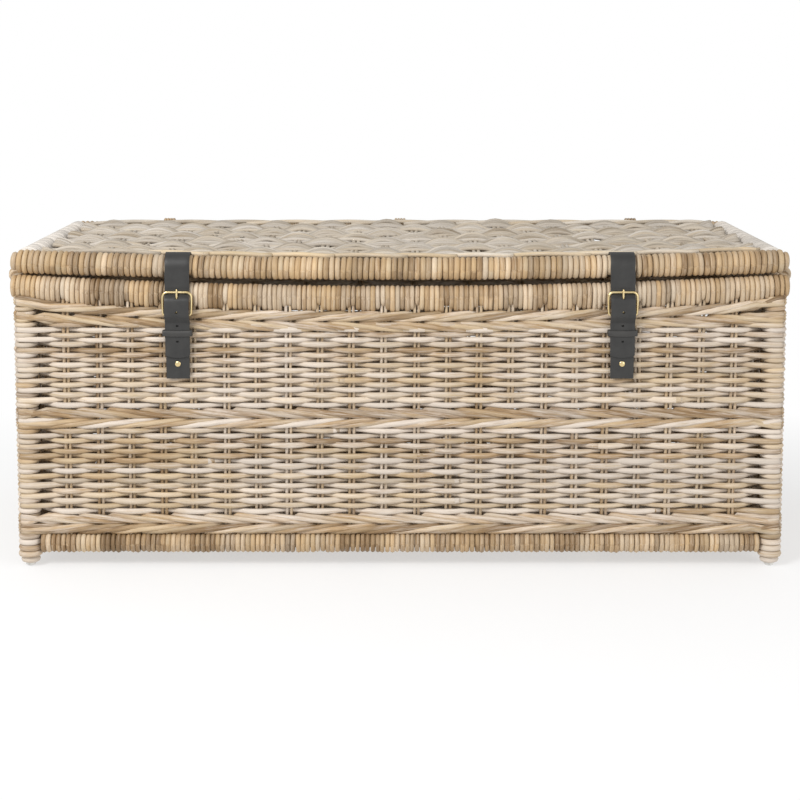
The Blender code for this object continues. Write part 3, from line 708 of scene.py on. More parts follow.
def add_wrapped_rail(name, node, body, axis, pitch, thickness, tone, wash, **options):
    """Wraps a straight rail that runs along X (axis 0) or along Y (axis 1)."""
    start, end = middle(node), middle(node)
    start[axis], end[axis] = (corner[axis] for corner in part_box(node))
    radius = min(size(node)) / 2
    path, length = straight(start, end)
    strands = Strands()
    wrap_rail(strands, path, lambda s: radius, length, pitch, thickness, tone, wash, **options)
    strands.build(name, WRAP, body, [node])


def front_rim_drop(s):
    """The front rim's wrap reaches down to the waling, less at its ends and at every stake."""
    x = s - HALF_LENGTH
    to_stake = np.min(np.abs(WALLS["front"].stakes - x))
    notch = 1 - 0.75 * math.exp(-((to_stake / 0.0062) ** 2))
    return FRONT_RIM_DROP * min(1, 0.35 + (HALF_LENGTH - abs(x)) / 0.12) * notch


def under_strap(s):
    """The lid's wrap is flattened from below where an opened strap bears on it."""
    to_strap = abs(abs(s - HALF_LENGTH) - middle("billet_right").x)
    return -SADDLE_DEPTH if to_strap < SADDLE_HALF_WIDTH else 0.0


def add_lumpy_rail(name, node, body):
    """The lid's side rails: the panel's strands come over them in tight bundles, like rope."""
    low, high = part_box(node)
    centre = (low + high) / 2
    radius = (high.x - low.x) / 2
    strands = Strands()
    count = int((high.y - low.y) / LUMP_PITCH)
    pitch = (high.y - low.y) / count
    step = pitch * 0.225
    for i in range(count):
        # Near the top of the tone scale and heavily washed: the real lime wash with a painted
        # highlight on top.
        shade = strand_shade(0.95, 0.85, 0.1)
        for k in range(LUMP_TURNS):
            off_middle = k - (LUMP_TURNS - 1) / 2
            y = low.y + pitch * (i + 0.5) + step * off_middle
            inner = 1 - abs(off_middle) / (LUMP_TURNS / 2)
            outer = radius - 0.0024 + 0.0036 * inner
            add_turn(strands, (centre.x, y, centre.z), (0.0, 1.0, 0.0), outer, 0.0040,
                     step * 0.60, jitter_shade(shade), 0.16, 20, 6)
    y = np.linspace(low.y, high.y, 5)
    core = np.stack([np.full(5, centre.x), y, np.full(5, centre.z)], 1)
    strands.add(core, radius - 0.0085, (0, 0, 1), (0.0, 0.0, 0.0), 14)
    strands.build(name, EDGE_WRAP_WASH_AND_HIGHLIGHT, body, [node])


def add_rails():
    """The rails of the rim, the lid and the bottom, each bound along its whole length."""
    front_rim = Strands()
    wrap_rail(front_rim, rim_front, rim_front_r, 2 * HALF_LENGTH, 0.0076, 0.0036, 0.30, 0.30,
              round_end=0.008, drop=front_rim_drop)
    front_rim.build("wrap_rim_front", WRAP, "trunk", ["rim_rail_front"])
    front_lid = Strands()
    wrap_rail(front_lid, lid_front, lid_front_r, 2 * HALF_LENGTH, 0.0088, 0.0043, 0.50, 0.0,
              lean=0.04, round_end=0.016, drop=under_strap)
    front_lid.build("wrap_lid_front", WRAP, "lid", ["lid_rail_front"])
    add_wrapped_rail("wrap_rim_rear", "rim_rail_rear", "trunk", 0, 0.0077, 0.0035, 0.4, 0.3,
                     sides=6, drop=lambda s: RIM_DROP)
    add_wrapped_rail("wrap_lid_rear", "lid_rail_rear", "lid", 0, 0.0085, 0.0034, 0.45, 0.2, sides=6)
    for side in SIDES:
        add_wrapped_rail(f"wrap_rim_{side}", f"rim_rail_{side}", "trunk", 1, 0.0077, 0.0033,
                         0.4, 0.3, closed_ends=False, sides=6, drop=lambda s: RIM_DROP)
        add_lumpy_rail(f"wrap_lid_{side}", f"lid_rail_{side}", "lid")
        add_wrapped_rail(f"wrap_bottom_{side}", f"bottom_rail_{side}", "trunk", 1, 0.0078, 0.0032,
                         0.4, 0.1, closed_ends=False, sides=6)
    for end in ENDS:
        add_wrapped_rail(f"wrap_bottom_{end}", f"bottom_rail_{end}", "trunk", 0, 0.0078, 0.0036,
                         0.28, 0.0, closed_ends=False, sides=6, drop=lambda s: BOTTOM_DROP)


def add_post(end, side):
    """A post bound with rings at the foot, at the walings and at every row that passes inside."""
    node = f"post_{end}_{side}"
    x, y, _ = middle(node)
    strands = Strands()
    up = (0, 0, 1)
    foot_pitch = (WALL_LOW - POST_FOOT) / FOOT_RINGS
    for i in range(FOOT_RINGS):
        z = POST_FOOT + foot_pitch * (i + 0.5)
        radius = POST_R - (0.0035 if i == 0 else 0.0) + (0.0006 if i == 1 else 0.0)
        add_turn(strands, (x, y, z), up, radius, 0.0046, foot_pitch * 0.53,
                 strand_shade(0.5, 0.25), rng.normal(0, 0.02), 24)
    for bottom in ROWS_LOW:
        for row in range(INSIDE_ROWS[end, side], ROWS, 2):
            z = bottom + ROW_PITCH * (row + 0.5)
            add_turn(strands, (x, y, z), up, POST_R + rng.normal(0, 0.0003), 0.0037,
                     ROW_PITCH * 0.52, strand_shade(0.5, 0.3), rng.normal(0, 0.02), 24, 6)
    for bottom in WALE_BOTTOMS:
        for i in range(5 if bottom == WALE_BOTTOMS[-1] else 4):
            z = bottom + 0.0038 + 0.0078 * i
            add_turn(strands, (x, y, z), up, POST_R - 0.0012, 0.0034, 0.0040,
                     strand_shade(0.5, 0.2), rng.normal(0, 0.02), 24, 6)
    z = np.array([POST_FOOT + 0.002, 0.1, 0.2, 0.3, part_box(node)[1].z])
    core = np.stack([np.full(5, x), np.full(5, y), z], 1)
    strands.add(core, POST_R - 0.0058, (0, 1, 0), (0.15, 0.35, 0.0), 14)
    strands.build(f"wrap_post_{end}_{side}", WEAVE, "trunk", [node])


def add_glides():
    """Domed plastic glides under the posts."""
    material, nodes = new_material("glide_plastic")
    dirt = nodes.noise(nodes.place(), 180.0, 3.0)
    colour = nodes.ramp(dirt, [(0.3, (0.52, 0.50, 0.47)), (0.6, (0.72, 0.71, 0.68))])
    nodes.surface(colour, nodes.maths("MULTIPLY_ADD", dirt, 0.3, 0.3))
    for end, side in CORNERS:
        node = f"foot_glide_{end}_{side}"
        radius, top = size(node).x / 2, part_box(node)[1].z
        profile = [(0.0, 0.0), (radius * 0.55, 0.0), (radius * 0.85, 0.0012),
                   (radius, 0.0032), (radius, top), (0.0, top)]
        piece = turned(f"glide_{end}_{side}", profile, 28, material)
        piece.location = (middle(node).x, middle(node).y, 0.0)
        finish_piece(piece, "trunk", [node])


def turned(name, profile, steps, material):
    """A closed turned piece about Z from its (radius, height) profile, bottom to top."""
    shape = bmesh.new()
    rings = []
    for radius, height in profile:
        if radius == 0:
            rings.append([shape.verts.new((0, 0, height))])
            continue
        turns = [2 * math.pi * i / steps for i in range(steps)]
        rings.append([shape.verts.new((radius * math.cos(t), radius * math.sin(t), height))
                      for t in turns])
    for low, high in zip(rings, rings[1:]):
        for i in range(steps):
            j = (i + 1) % steps
            # A ring of one is the tip: there the side has three corners.
            corners = [low[i % len(low)], low[j % len(low)],
                       high[j % len(high)], high[i % len(high)]]
            shape.faces.new(list(dict.fromkeys(corners)))
    return from_bmesh(name, shape, material)


add_rails()
for corner in CORNERS:
    add_post(*corner)
add_glides()


# ---- the lid's panel ---------------------------------------------------------------------------
# Strands in a group, then the strands' pitch and half thickness and how far they swell.
LID_GROUP = 8
LID_STRAND_PITCH = 0.0074
LID_STRAND_R = 0.0036
LID_WAVE = 0.0072
LID_STAKE_R = 0.0032
PANEL_LIFT = 0.0022
BORDER_SPAN = 0.0985
BORDER_STRANDS = 12
PANEL_LOW, PANEL_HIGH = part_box("lid_panel")
PANEL_Z = PANEL_HIGH.z - 0.005 + PANEL_LIFT
PANEL_HALF_X = PANEL_HIGH.x
EDGE_X = PANEL_HALF_X - 0.002


def panel_level(x, y):
    """The panel's height: it follows the front rail's sag, less and less towards the hinge."""
    share = (PANEL_HIGH.y - y) / (PANEL_HIGH.y - PANEL_LOW.y)
    return PANEL_Z - LID_SAG * sag_share(x) * share


def lid_stakes():
    """The lid's stakes from front to back, and one more pole along each side edge."""
    inner = WALLS["front"].half - CORNER_TO_STAKE
    return np.concatenate([[-EDGE_X], np.linspace(-inner, inner, FRONT_STAKES), [EDGE_X]])


def add_lid_weave():
    """Groups of strands side by side, each group over and under the stakes in turn."""
    strands = Strands()
    stakes = lid_stakes()
    count = int((PANEL_HIGH.y - PANEL_LOW.y) / LID_STRAND_PITCH)
    first = (PANEL_LOW.y + PANEL_HIGH.y - (count - 1) * LID_STRAND_PITCH) / 2
    index = np.arange(len(stakes))
    fine = np.linspace(0, len(stakes) - 1, (len(stakes) - 1) * 6 + 1)
    x = np.interp(fine, index, stakes)
    for i in range(count):
        phase = (i + 0.5 + LID_GROUP / 2) / LID_GROUP
        swell = math.sin(math.pi * phase)
        swell = LID_WAVE * math.copysign(abs(swell) ** 0.7, swell) * rng.normal(1, 0.12)
        side = np.cos(math.pi * fine)
        wave = np.sign(side) * np.abs(side) ** 0.85
        height = wander(x, 0.0013, 30)
        y = first + i * LID_STRAND_PITCH + wander(x, 0.0010, 30)
        z = panel_level(x, y) + swell * wave + height
        radius = LID_STRAND_R * rng.normal(1, 0.06)
        points = np.stack([x, y, z], 1)
        for part in joined(len(points), 20, 0.6):
            strands.add(points[part], radius, (0, 0, 1), strand_shade(0.5, 0.25, 0.3), 6)
    for x_stake in stakes[1:-1]:
        for side in (-1, 1):
            y = np.linspace(PANEL_LOW.y - 0.004, PANEL_HIGH.y + 0.004, 9)
            x_line = x_stake + side * 0.0036 + rng.normal(0, 0.0004, 9)
            points = np.stack([x_line, y, panel_level(x_line, y)], 1)
            strands.add(points, LID_STAKE_R, (0, 0, 1), strand_shade(0.5, 0.1), 6)
    strands.build("lid_weave", LID_WEAVE, "lid", ["lid_panel"])


def add_lid_borders():
    """The border strands that overlap along the panel's front edge and along its back edge."""
    strands = Strands()
    step = BORDER_SPAN * 0.96
    for i in range(BORDER_STRANDS):
        start = -PANEL_HALF_X + 0.004 + i * step
        length = BORDER_SPAN * rng.uniform(1.65, 2.0)
        x = np.linspace(start, min(start + length, PANEL_HALF_X - 0.002), 12)
        share = (x - x[0]) / (x[-1] - x[0])
        y = PANEL_LOW.y + 0.0035 - 0.0085 * ease(share * 1.3)
        arch = np.sin(math.pi * np.clip(share * 1.1, 0, 1)) * 0.0034 - 0.0010
        z = panel_level(x, y) + 0.0035 + 0.0062 * ease(share * 1.25) + arch - PANEL_LIFT
        radius = 0.0041 * rng.normal(1, 0.06)
        strands.add(np.stack([x, y, z], 1), radius, (0, 0, 1), strand_shade(0.8, 0.1, 0.15), 8)
    for i in range(BORDER_STRANDS):
        start = -PANEL_HALF_X + 0.002 + i * step
        x = np.linspace(start, min(start + BORDER_SPAN * 1.7, PANEL_HALF_X - 0.002), 12)
        share = (x - x[0]) / (x[-1] - x[0])
        y = PANEL_HIGH.y - 0.004 + 0.007 * ease(share * 1.2)
        arch = np.sin(math.pi * share) * 0.0040
        z = panel_level(x, y) + 0.0035 + arch
        strands.add(np.stack([x, y, z], 1), 0.0036, (0, 0, 1), strand_shade(0.6, 0.3), 8)
    strands.build("lid_borders", LID_BORDER, "lid")


def add_poles():
    """Bare round rattan poles with their nodes: bearers below the base, braces below the lid."""
    poles = [(f"base_bearer_{where}", "trunk") for where in ("left", "middle", "right")]
    poles += [(f"lid_brace_{side}", "lid") for side in SIDES]
    for node, body in poles:
        low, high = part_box(node)
        radius = (high.x - low.x) / 2
        steps = 40
        y = np.linspace(low.y, high.y, steps)
        ring_nodes = np.exp(-(((y - low.y - 0.07) % 0.155 - 0.02) / 0.004) ** 2)
        x = np.full(steps, (low.x + high.x) / 2)
        z = np.full(steps, (low.z + high.z) / 2)
        if body == "lid":
            # A brace climbs from the front rail to the rear one.
            start_z, end_z = low.z + radius, high.z - radius
            z = start_z + (end_z - start_z) * (y - low.y) / (high.y - low.y)
        strands = Strands()
        strands.add(np.stack([x, y, z], 1), radius * (0.96 + 0.05 * ring_nodes), (0, 0, 1),
                    strand_shade(0.5, 0.1), 16)
        strands.build(f"pole_{node}", POLE, body, [node])


# ---- the base, the hinge loops and the handles -------------------------------------------------
def add_base():
    """The floor's plain weave of strands along X over pairs of stakes along Y."""
    strands = Strands()
    low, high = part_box("base_panel")
    corner = 0.012
    level = (low.z + high.z) / 2 + 0.0005
    wave_height = 0.0036
    inner = WALLS["front"].half - CORNER_TO_STAKE
    stakes = np.linspace(-inner, inner, FRONT_STAKES)
    spacing = stakes[1] - stakes[0]
    pitch = 0.0084
    count = int((high.y - low.y) / pitch)
    for i in range(count):
        y = low.y + (high.y - low.y) * (i + 0.5) / count
        reach = high.x - (corner if min(y - low.y, high.y - y) < corner else 0.001)
        fine = np.arange(-reach, reach, spacing / 5)
        wave = np.cos(math.pi * ((fine - stakes[0]) / spacing + i))
        z = level + wave_height * wave + rng.normal(0, 0.0003)
        points = np.stack([fine, np.full(len(fine), y) + rng.normal(0, 0.0004, len(fine)), z], 1)
        strands.add(points, 0.0037, (0, 0, 1), strand_shade(0.35, 0.1), 5)
    for x in stakes:
        for side in (-1, 1):
            y = np.linspace(low.y + 0.001, high.y - 0.001, 5)
            points = np.stack([np.full(5, x + side * STAKE_SPREAD), y, np.full(5, level)], 1)
            strands.add(points, 0.0024, (0, 0, 1), strand_shade(0.4, 0.05), 6)
    strands.build("base_weave", WEAVE, "trunk", ["base_panel"])


def add_hinge_loops():
    """Turns of split rattan round the lid's and the rim's rear rails together."""
    thickness, turns = 0.0024, 4
    angles = np.linspace(0, math.pi, 13)
    for where in ("left", "middle", "right"):
        node = f"hinge_loop_{where}"
        low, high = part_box(node)
        outer = (high.y - low.y) / 2
        radius = outer - thickness
        centre_y = (low.y + high.y) / 2
        tops, bottoms = high.z - outer, low.z + outer
        y = np.concatenate([np.cos(angles), -np.cos(angles)]) * radius + centre_y
        z = np.concatenate([np.sin(angles) * radius + tops, -np.sin(angles) * radius + bottoms])
        direction = np.stack([np.zeros(26), y - centre_y, z - np.clip(z, bottoms, tops)], 1)
        pitch = (high.x - low.x) / turns
        strands = Strands()
        shade = strand_shade(0.4, 0.2)
        for i in range(turns):
            x = low.x + pitch * (i + 0.5)
            points = np.stack([np.full(26, x), y, z], 1)
            strands.add(points, thickness, direction, jitter_shade(shade), 8, pitch * 0.5,
                        closed=True)
        strands.build(f"wrap_{node}", WRAP, "trunk", [node])


def handle_path(sign):
    """The handle's middle line as a function of the distance along it."""
    low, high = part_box("handle_right")
    radius, corner, root_length = 0.0115, 0.021, 0.0145
    root_x, reach = low.x, high.x - radius
    half_width = high.y - TRUNK_Y - radius
    root_z, grip_z = middle("handle_binding_right_front").z, high.z - radius
    straight_x = root_x + root_length
    turns = np.radians(np.linspace(90, 0, 7))
    x = np.concatenate([[root_x, straight_x], reach - corner + corner * np.cos(turns)])
    y = np.concatenate([[half_width, half_width], half_width - corner + corner * np.sin(turns)])
    share = np.clip((x - straight_x) / (reach - straight_x), 0, 1)
    z = root_z + (grip_z - root_z) * ease(share)
    x = np.concatenate([x, x[::-1]])
    y = np.concatenate([y, -y[::-1]])
    z = np.concatenate([z, z[::-1]])
    points = np.stack([sign * x, y + TRUNK_Y, z], 1)
    marks = distances(points)

    def at(s):
        return np.array([np.interp(s, marks, points[:, i]) for i in range(3)])

    return at, float(marks[-1]), radius


def add_handles():
    """The end handles, wrapped from root to root, and the windings that bind their roots."""
    for side, sign in zip(SIDES, (-1, 1)):
        path, length, radius = handle_path(sign)
        strands = Strands()
        wrap_rail(strands, path, lambda s: radius, length, 0.0066, 0.0029, 0.55, 0.35,
                  closed_ends=False, steps=16, sides=6)
        strands.build(f"wrap_handle_{side}", WRAP, "trunk", [f"handle_{side}"])
        for end in ENDS:
            node = f"handle_binding_{side}_{end}"
            strands = Strands()
            for i in (-1, 1):
                place = np.array(middle(node)) + (i * size(node).x / 4, 0, 0)
                add_turn(strands, place, (1.0, 0.0, 0.0), size(node).z / 2, 0.0022, 0.0024,
                         strand_shade(0.5, 0.3), 0.0, 24, 6)
            strands.build(f"wrap_{node}", WRAP, "trunk", [node])


add_lid_weave()
add_lid_borders()
add_poles()
add_base()
add_hinge_loops()
add_handles()


# ---- the straps and buckles --------------------------------------------------------------------
def make_leather():
    """Smooth black strap leather: fine grain, soft creases across it and paler cut edges."""
    material, nodes = new_material("leather")
    maths, place = nodes.maths, nodes.place()
    pores = nodes.noise(place, 900.0, 3.0, 0.7)
    clouds = nodes.noise(place, 60.0, 3.0)
    creases = nodes.noise(place, 1.0, 3.0, 0.6, (25.0, 25.0, 300.0))
    tone = maths("MULTIPLY_ADD", pores, 0.35, maths("MULTIPLY", clouds, 0.65))
    colour = nodes.ramp(tone, [(0.3, (0.016, 0.0155, 0.015)), (0.7, (0.031, 0.030, 0.028))])
    edge = nodes.attribute("edge")["Fac"]
    rough = maths("MULTIPLY", edge, maths("MULTIPLY_ADD", pores, 0.8, 0.25), clamp=True)
    colour = nodes.mix(rough, colour, (0.085, 0.078, 0.070))
    dull = maths("MULTIPLY_ADD", clouds, 0.25, 0.38)
    relief = maths("MULTIPLY_ADD", creases, 0.8, maths("MULTIPLY", pores, 0.5))
    nodes.surface(colour, dull, relief, 0.35)
    return material


def make_brass():
    """Polished brass with faint hairline scratches and duller patches."""
    material, nodes = new_material("brass")
    place = nodes.place()
    patina = nodes.noise(place, 70.0)
    lines = nodes.noise(place, 1.0, stretch=(2600.0, 300.0, 500.0))
    colour = nodes.ramp(patina, [(0.3, (0.70, 0.54, 0.27)), (0.65, (0.80, 0.65, 0.36))])
    gloss = nodes.maths("MULTIPLY_ADD", lines, 0.1, 0.1)
    gloss = nodes.maths("MULTIPLY_ADD", patina, 0.25, gloss)
    nodes.surface(colour, gloss).inputs["Metallic"].default_value = 1.0
    return material


LEATHER = make_leather()
BRASS = make_brass()
LEATHER_THICKNESS = 0.003
EDGE_R = 0.0006
STRAP_WIDTH = 0.038
# The middle of the lid's rail where the strap bends over it, and where its tail ends.
STRAP_RAIL_Y = -0.23167 + TRUNK_Y
STRAP_RAIL_Z = 0.47442
STRAP_TAIL_Z = 0.4600
# The strap's free end hangs at this depth, stands out over the buckle's heel and ends lower down.
BILLET_Y = -0.2523 + TRUNK_Y
BILLET_OVER_Y = -0.2627 + TRUNK_Y
BILLET_LOW_Y = -0.2550 + TRUNK_Y
# (height, half height) of the prong's hole and of the spare ones.
BILLET_HOLES = ((0.4290, 0.0026), (0.4065, 0.0021), (0.3848, 0.0021), (0.3603, 0.0021))
HOLE_HALF_WIDTH = 0.0022
# The buckle's heel bar and the wall strap's fold round it.
HEEL_Y = -0.2561 + TRUNK_Y
HEEL_Z = 0.402
CHAPE_Y = -0.2517 + TRUNK_Y
CHAPE_FOLD_R = 0.0034
CHAPE_WIDTH = 0.036
BAR_R = 0.0020
RIVET_HEAD_R = 0.0045
METAL_SHADE = (0.5, 0.5, 0.0)


def smooth_line(points, spacing=0.0012, rounds=3):
    """Even steps along a line of (y, z) points, its corners eased."""
    def evened(line):
        marks = distances(line)
        steps = np.linspace(0, marks[-1], max(8, int(marks[-1] / spacing)))
        return np.stack([np.interp(steps, marks, line[:, k]) for k in range(2)], 1)

    points = evened(np.asarray(points, float))
    for _ in range(rounds):
        points[1:-1] = (points[:-2] + 2 * points[1:-1] + points[2:]) / 4
    return evened(points)


def slab_strap(name, line, width, x, thickness=LEATHER_THICKNESS, drift=0.0, slots=(), point=0.0):
    """A strap of leather along a (y, z) line: rounded edges, a slightly wandering width.
    slots are (middle z, half height, half width) openings; point rounds off its last end."""
    count = len(line)
    along = unit(np.gradient(line, axis=0))
    normal = np.stack([-along[:, 1], along[:, 0]], 1)
    half = width / 2
    t = thickness / 2
    across = [-half, -half + EDGE_R * 0.3, -half + EDGE_R, -half * 0.66, -half * 0.33]
    openings = sorted({round(s[2], 5) for s in slots})
    across += [-o for o in openings[::-1]]
    across = np.array(across + ([0.0] if not openings else []) + [-a for a in across[::-1]])
    columns = len(across)
    drops = np.minimum(1, (half - np.abs(across)) / EDGE_R)
    inset = t - EDGE_R * 0.8 * (1 - np.sqrt(np.clip(1 - (1 - drops) ** 2, 0, 1)))
    # The second row of draws is spare: it keeps every later draw in its place.
    drifts = rng.normal(0, drift, (2, 12))[0]
    shift = np.interp(np.linspace(0, 1, count), np.linspace(0, 1, 12), drifts)
    shape = bmesh.new()
    edge_layer = shape.verts.layers.float.new("edge")
    grid = []
    for face in (1, -1):
        rows = []
        for i in range(count):
            left = np.linalg.norm(line[i] - line[-1])
            narrow = 1.0
            if point and left < point:
                narrow = math.sqrt(max(0.04, 1 - (1 - left / point) ** 2))
            row = []
            for j in range(columns):
                place = line[i] + normal[i] * face * inset[j]
                vert = shape.verts.new((x + across[j] * narrow + shift[i], place[0], place[1]))
                vert[edge_layer] = 1.0 if j in (0, columns - 1) else 0.0
                row.append(vert)
            rows.append(row)
        grid.append(rows)

    def is_open(i, j):
        z = (line[i, 1] + line[i + 1, 1]) / 2
        u = abs(across[j] + across[j + 1]) / 2
        return any(abs(z - s[0]) < s[1] and u < s[2] for s in slots)

    cells = [(i, j) for i in range(count - 1) for j in range(columns - 1) if not is_open(i, j)]
    for face, rows in enumerate(grid):
        for i, j in cells:
            corners = [rows[i][j], rows[i + 1][j], rows[i + 1][j + 1], rows[i][j + 1]]
            shape.faces.new(corners if face == 0 else corners[::-1])
    top, under = grid
    filled = set(cells)
    for i, j in cells:
        for di, dj, a, b in ((-1, 0, (i, j), (i, j + 1)), (1, 0, (i + 1, j), (i + 1, j + 1)),
                             (0, -1, (i, j), (i + 1, j)), (0, 1, (i, j + 1), (i + 1, j + 1))):
            if (i + di, j + dj) not in filled:
                shape.faces.new([top[a[0]][a[1]], top[b[0]][b[1]], under[b[0]][b[1]],
                                 under[a[0]][a[1]]])
    for slot_z, slot_half, slot_width in slots:
        if slot_half > 0.003:
            continue
        for rows in grid:
            for i in range(count):
                for vert in rows[i]:
                    u, v = vert.co.x - x - shift[i], vert.co.z - slot_z
                    reach = math.hypot(u, v)
                    if abs(u) <= slot_width * 1.01 and slot_half * 0.4 < reach < slot_half * 1.9:
                        vert.co.x = x + shift[i] + u / reach * slot_half
                        vert.co.z = slot_z + v / reach * slot_half
    loose = [v for v in shape.verts if not v.link_faces]
    bmesh.ops.delete(shape, geom=loose, context="VERTS")
    return from_bmesh(name, shape, LEATHER, 55)


def arc_points(centre, radius, start, end, steps):
    angles = np.radians(np.linspace(start, end, steps))
    return [(centre[0] + radius * math.cos(a), centre[1] + radius * math.sin(a)) for a in angles]


def add_lid_strap(side, x):
    """From its riveted tail behind the lid's rail, over the rail and down to the billet's top."""
    bend_low, bend_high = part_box(f"strap_bend_{side}")
    middle_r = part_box(f"lid_strap_{side}")[1].y - STRAP_RAIL_Y - LEATHER_THICKNESS / 2
    front = (bend_low.y + bend_high.y) / 2
    line = [(STRAP_RAIL_Y + middle_r, STRAP_TAIL_Z)]
    line += arc_points((STRAP_RAIL_Y, STRAP_RAIL_Z), middle_r, 0, 180, 30)
    line += [(front, bend_high.z), (front, bend_low.z)]
    piece = slab_strap(f"strap_{side}", smooth_line(line), STRAP_WIDTH, x, drift=0.0002)
    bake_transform(piece)
    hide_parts(f"lid_strap_{side}", f"strap_bend_{side}")


def add_billet(side, x):
    """The strap's free end with its holes, over the buckle and down into the keeper."""
    low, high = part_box(f"billet_{side}")
    line = [(BILLET_Y, high.z), (BILLET_Y, 0.4350), (BILLET_OVER_Y + 0.0008, 0.4265),
            (BILLET_OVER_Y, 0.4215), (BILLET_OVER_Y, 0.4005), (BILLET_LOW_Y, 0.3892),
            (BILLET_LOW_Y, low.z)]
    slots = [(*hole, HOLE_HALF_WIDTH) for hole in BILLET_HOLES]
    piece = slab_strap(f"strap_end_{side}", smooth_line(line), STRAP_WIDTH, x, drift=0.0002,
                       slots=slots, point=0.004)
    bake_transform(piece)
    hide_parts(f"billet_{side}")


def add_chape(side, x):
    """The strap on the wall, folded round the buckle's heel bar."""
    line = [(CHAPE_Y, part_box(f"chape_{side}")[0].z), (CHAPE_Y, HEEL_Z - 0.010)]
    line += arc_points((HEEL_Y, HEEL_Z), CHAPE_FOLD_R, 20, 250, 24)
    piece = slab_strap(f"chape_{side}_leather", smooth_line(line, rounds=2), CHAPE_WIDTH, x,
                       thickness=0.0028, slots=[(HEEL_Z, 0.0068, 0.0028)], drift=0.0001)
    finish_piece(piece, "trunk", [f"chape_{side}"])


def add_keeper(side, x):
    """The keeper, a stitched ring of leather, a little bowed where it crosses the billet."""
    low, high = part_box(f"keeper_{side}")
    centre_y, half_y = (low.y + high.y) / 2, (high.y - low.y) / 2
    half_x = (high.x - low.x) / 2
    thickness, corner, bevel = 0.0020, 0.0030, 0.0004
    ring = []
    for i, (u_side, v_side) in enumerate(((1, 1), (-1, 1), (-1, -1), (1, -1))):
        centre = (u_side * (half_x - corner), v_side * (half_y - corner))
        ring += arc_points(centre, corner, 90 * i, 90 * i + 90, 6)
    ring = spread(ring, 0.002)
    along = unit(np.roll(ring, -1, 0) - np.roll(ring, 1, 0))
    inward = np.stack([-along[:, 1], along[:, 0]], 1)
    shape = bmesh.new()
    edge_layer = shape.verts.layers.float.new("edge")
    section = [(0.0, low.z + 0.0005), (0.0, high.z - 0.0005), (0.0005, high.z),
               (thickness - bevel, high.z), (thickness, high.z - bevel),
               (thickness, low.z + bevel), (thickness - bevel, low.z), (0.0005, low.z)]
    rows = []
    for spot, inwards in zip(ring, inward):
        bow = -0.0010 * max(0.0, 1 - (spot[0] / half_x) ** 2) if spot[1] < 0 else 0.0
        row = []
        for depth, z in section:
            place = spot + inwards * depth
            vert = shape.verts.new((x + place[0], centre_y + place[1], z + bow))
            vert[edge_layer] = 1.0 if z in (high.z, low.z) else 0.25
            row.append(vert)
        rows.append(row)
    for here, there in zip(rows, rows[1:] + rows[:1]):
        for j in range(len(section)):
            k = (j + 1) % len(section)
            shape.faces.new([here[j], here[k], there[k], there[j]])
    piece = from_bmesh(f"keeper_ring_{side}", shape, LEATHER)
    finish_piece(piece, f"{side}_keeper", [f"keeper_{side}"])


def add_buckle(side, x):
    """The rounded wire frame and the prong with its eye round the frame's heel bar."""
    low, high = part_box(f"buckle_frame_{side}")
    half = (high.x - low.x) / 2 - BAR_R
    top, bottom = high.z - BAR_R, low.z + BAR_R
    top_r, low_r = 0.0075, 0.0030
    loop = arc_points((half - low_r, bottom + low_r), low_r, -90, 0, 8)
    loop += arc_points((half - top_r, top - top_r), top_r, 0, 90, 14)
    loop += [(-u, v) for u, v in loop[::-1]]
    loop = spread(loop, 0.004)
    lean = -0.0012 * np.clip((bottom + 0.012 - loop[:, 1]) / 0.012, 0, 1) * np.sign(loop[:, 0])
    points = np.stack([x + loop[:, 0] + lean * 0.6, np.full(len(loop), HEEL_Y), loop[:, 1]], 1)
    wire = Strands()
    wire.add(points, BAR_R, (0, 1, 0), METAL_SHADE, 12, closed=True)
    wire.build(f"buckle_{side}", BRASS, f"{side}_buckle", [f"buckle_frame_{side}"])
    prong = Strands()
    eye = arc_points((HEEL_Y, HEEL_Z), 0.0031, 60, 400, 22)
    ring = np.array([(x, u, v) for u, v in eye])
    prong.add(ring, 0.0009, ring - np.array([x, HEEL_Y, HEEL_Z]), METAL_SHADE, 8, 0.0017)
    rest_y = HEEL_Y - BAR_R - 0.00145
    z = np.array([HEEL_Z + 0.0010, HEEL_Z + 0.006, HEEL_Z + 0.012, HEEL_Z + 0.022,
                  top - 0.004, top + 0.001, top + 0.0035, top + 0.0050])
    y = rest_y + np.array([0.0005, 0.0, 0.0, 0.0, 0.0, 0.0, 0.0003, 0.0008])
    thick = np.array([0.0011, 0.00125, 0.00125, 0.0012, 0.0012, 0.0012, 0.0010, 0.0006])
    wide = np.array([0.0017, 0.0018, 0.0018, 0.0017, 0.0016, 0.0015, 0.0013, 0.0008])
    fine = np.linspace(0, len(z) - 1, 34)
    index = np.arange(len(z))
    tongue = np.stack([np.full(34, x), np.interp(fine, index, y), np.interp(fine, index, z)], 1)
    prong.add(tongue, np.interp(fine, index, thick), (0, -1, 0), METAL_SHADE, 12,
              np.interp(fine, index, wide))
    prong.build(f"tongue_{side}", BRASS, f"{side}_prong", [f"prong_{side}"])


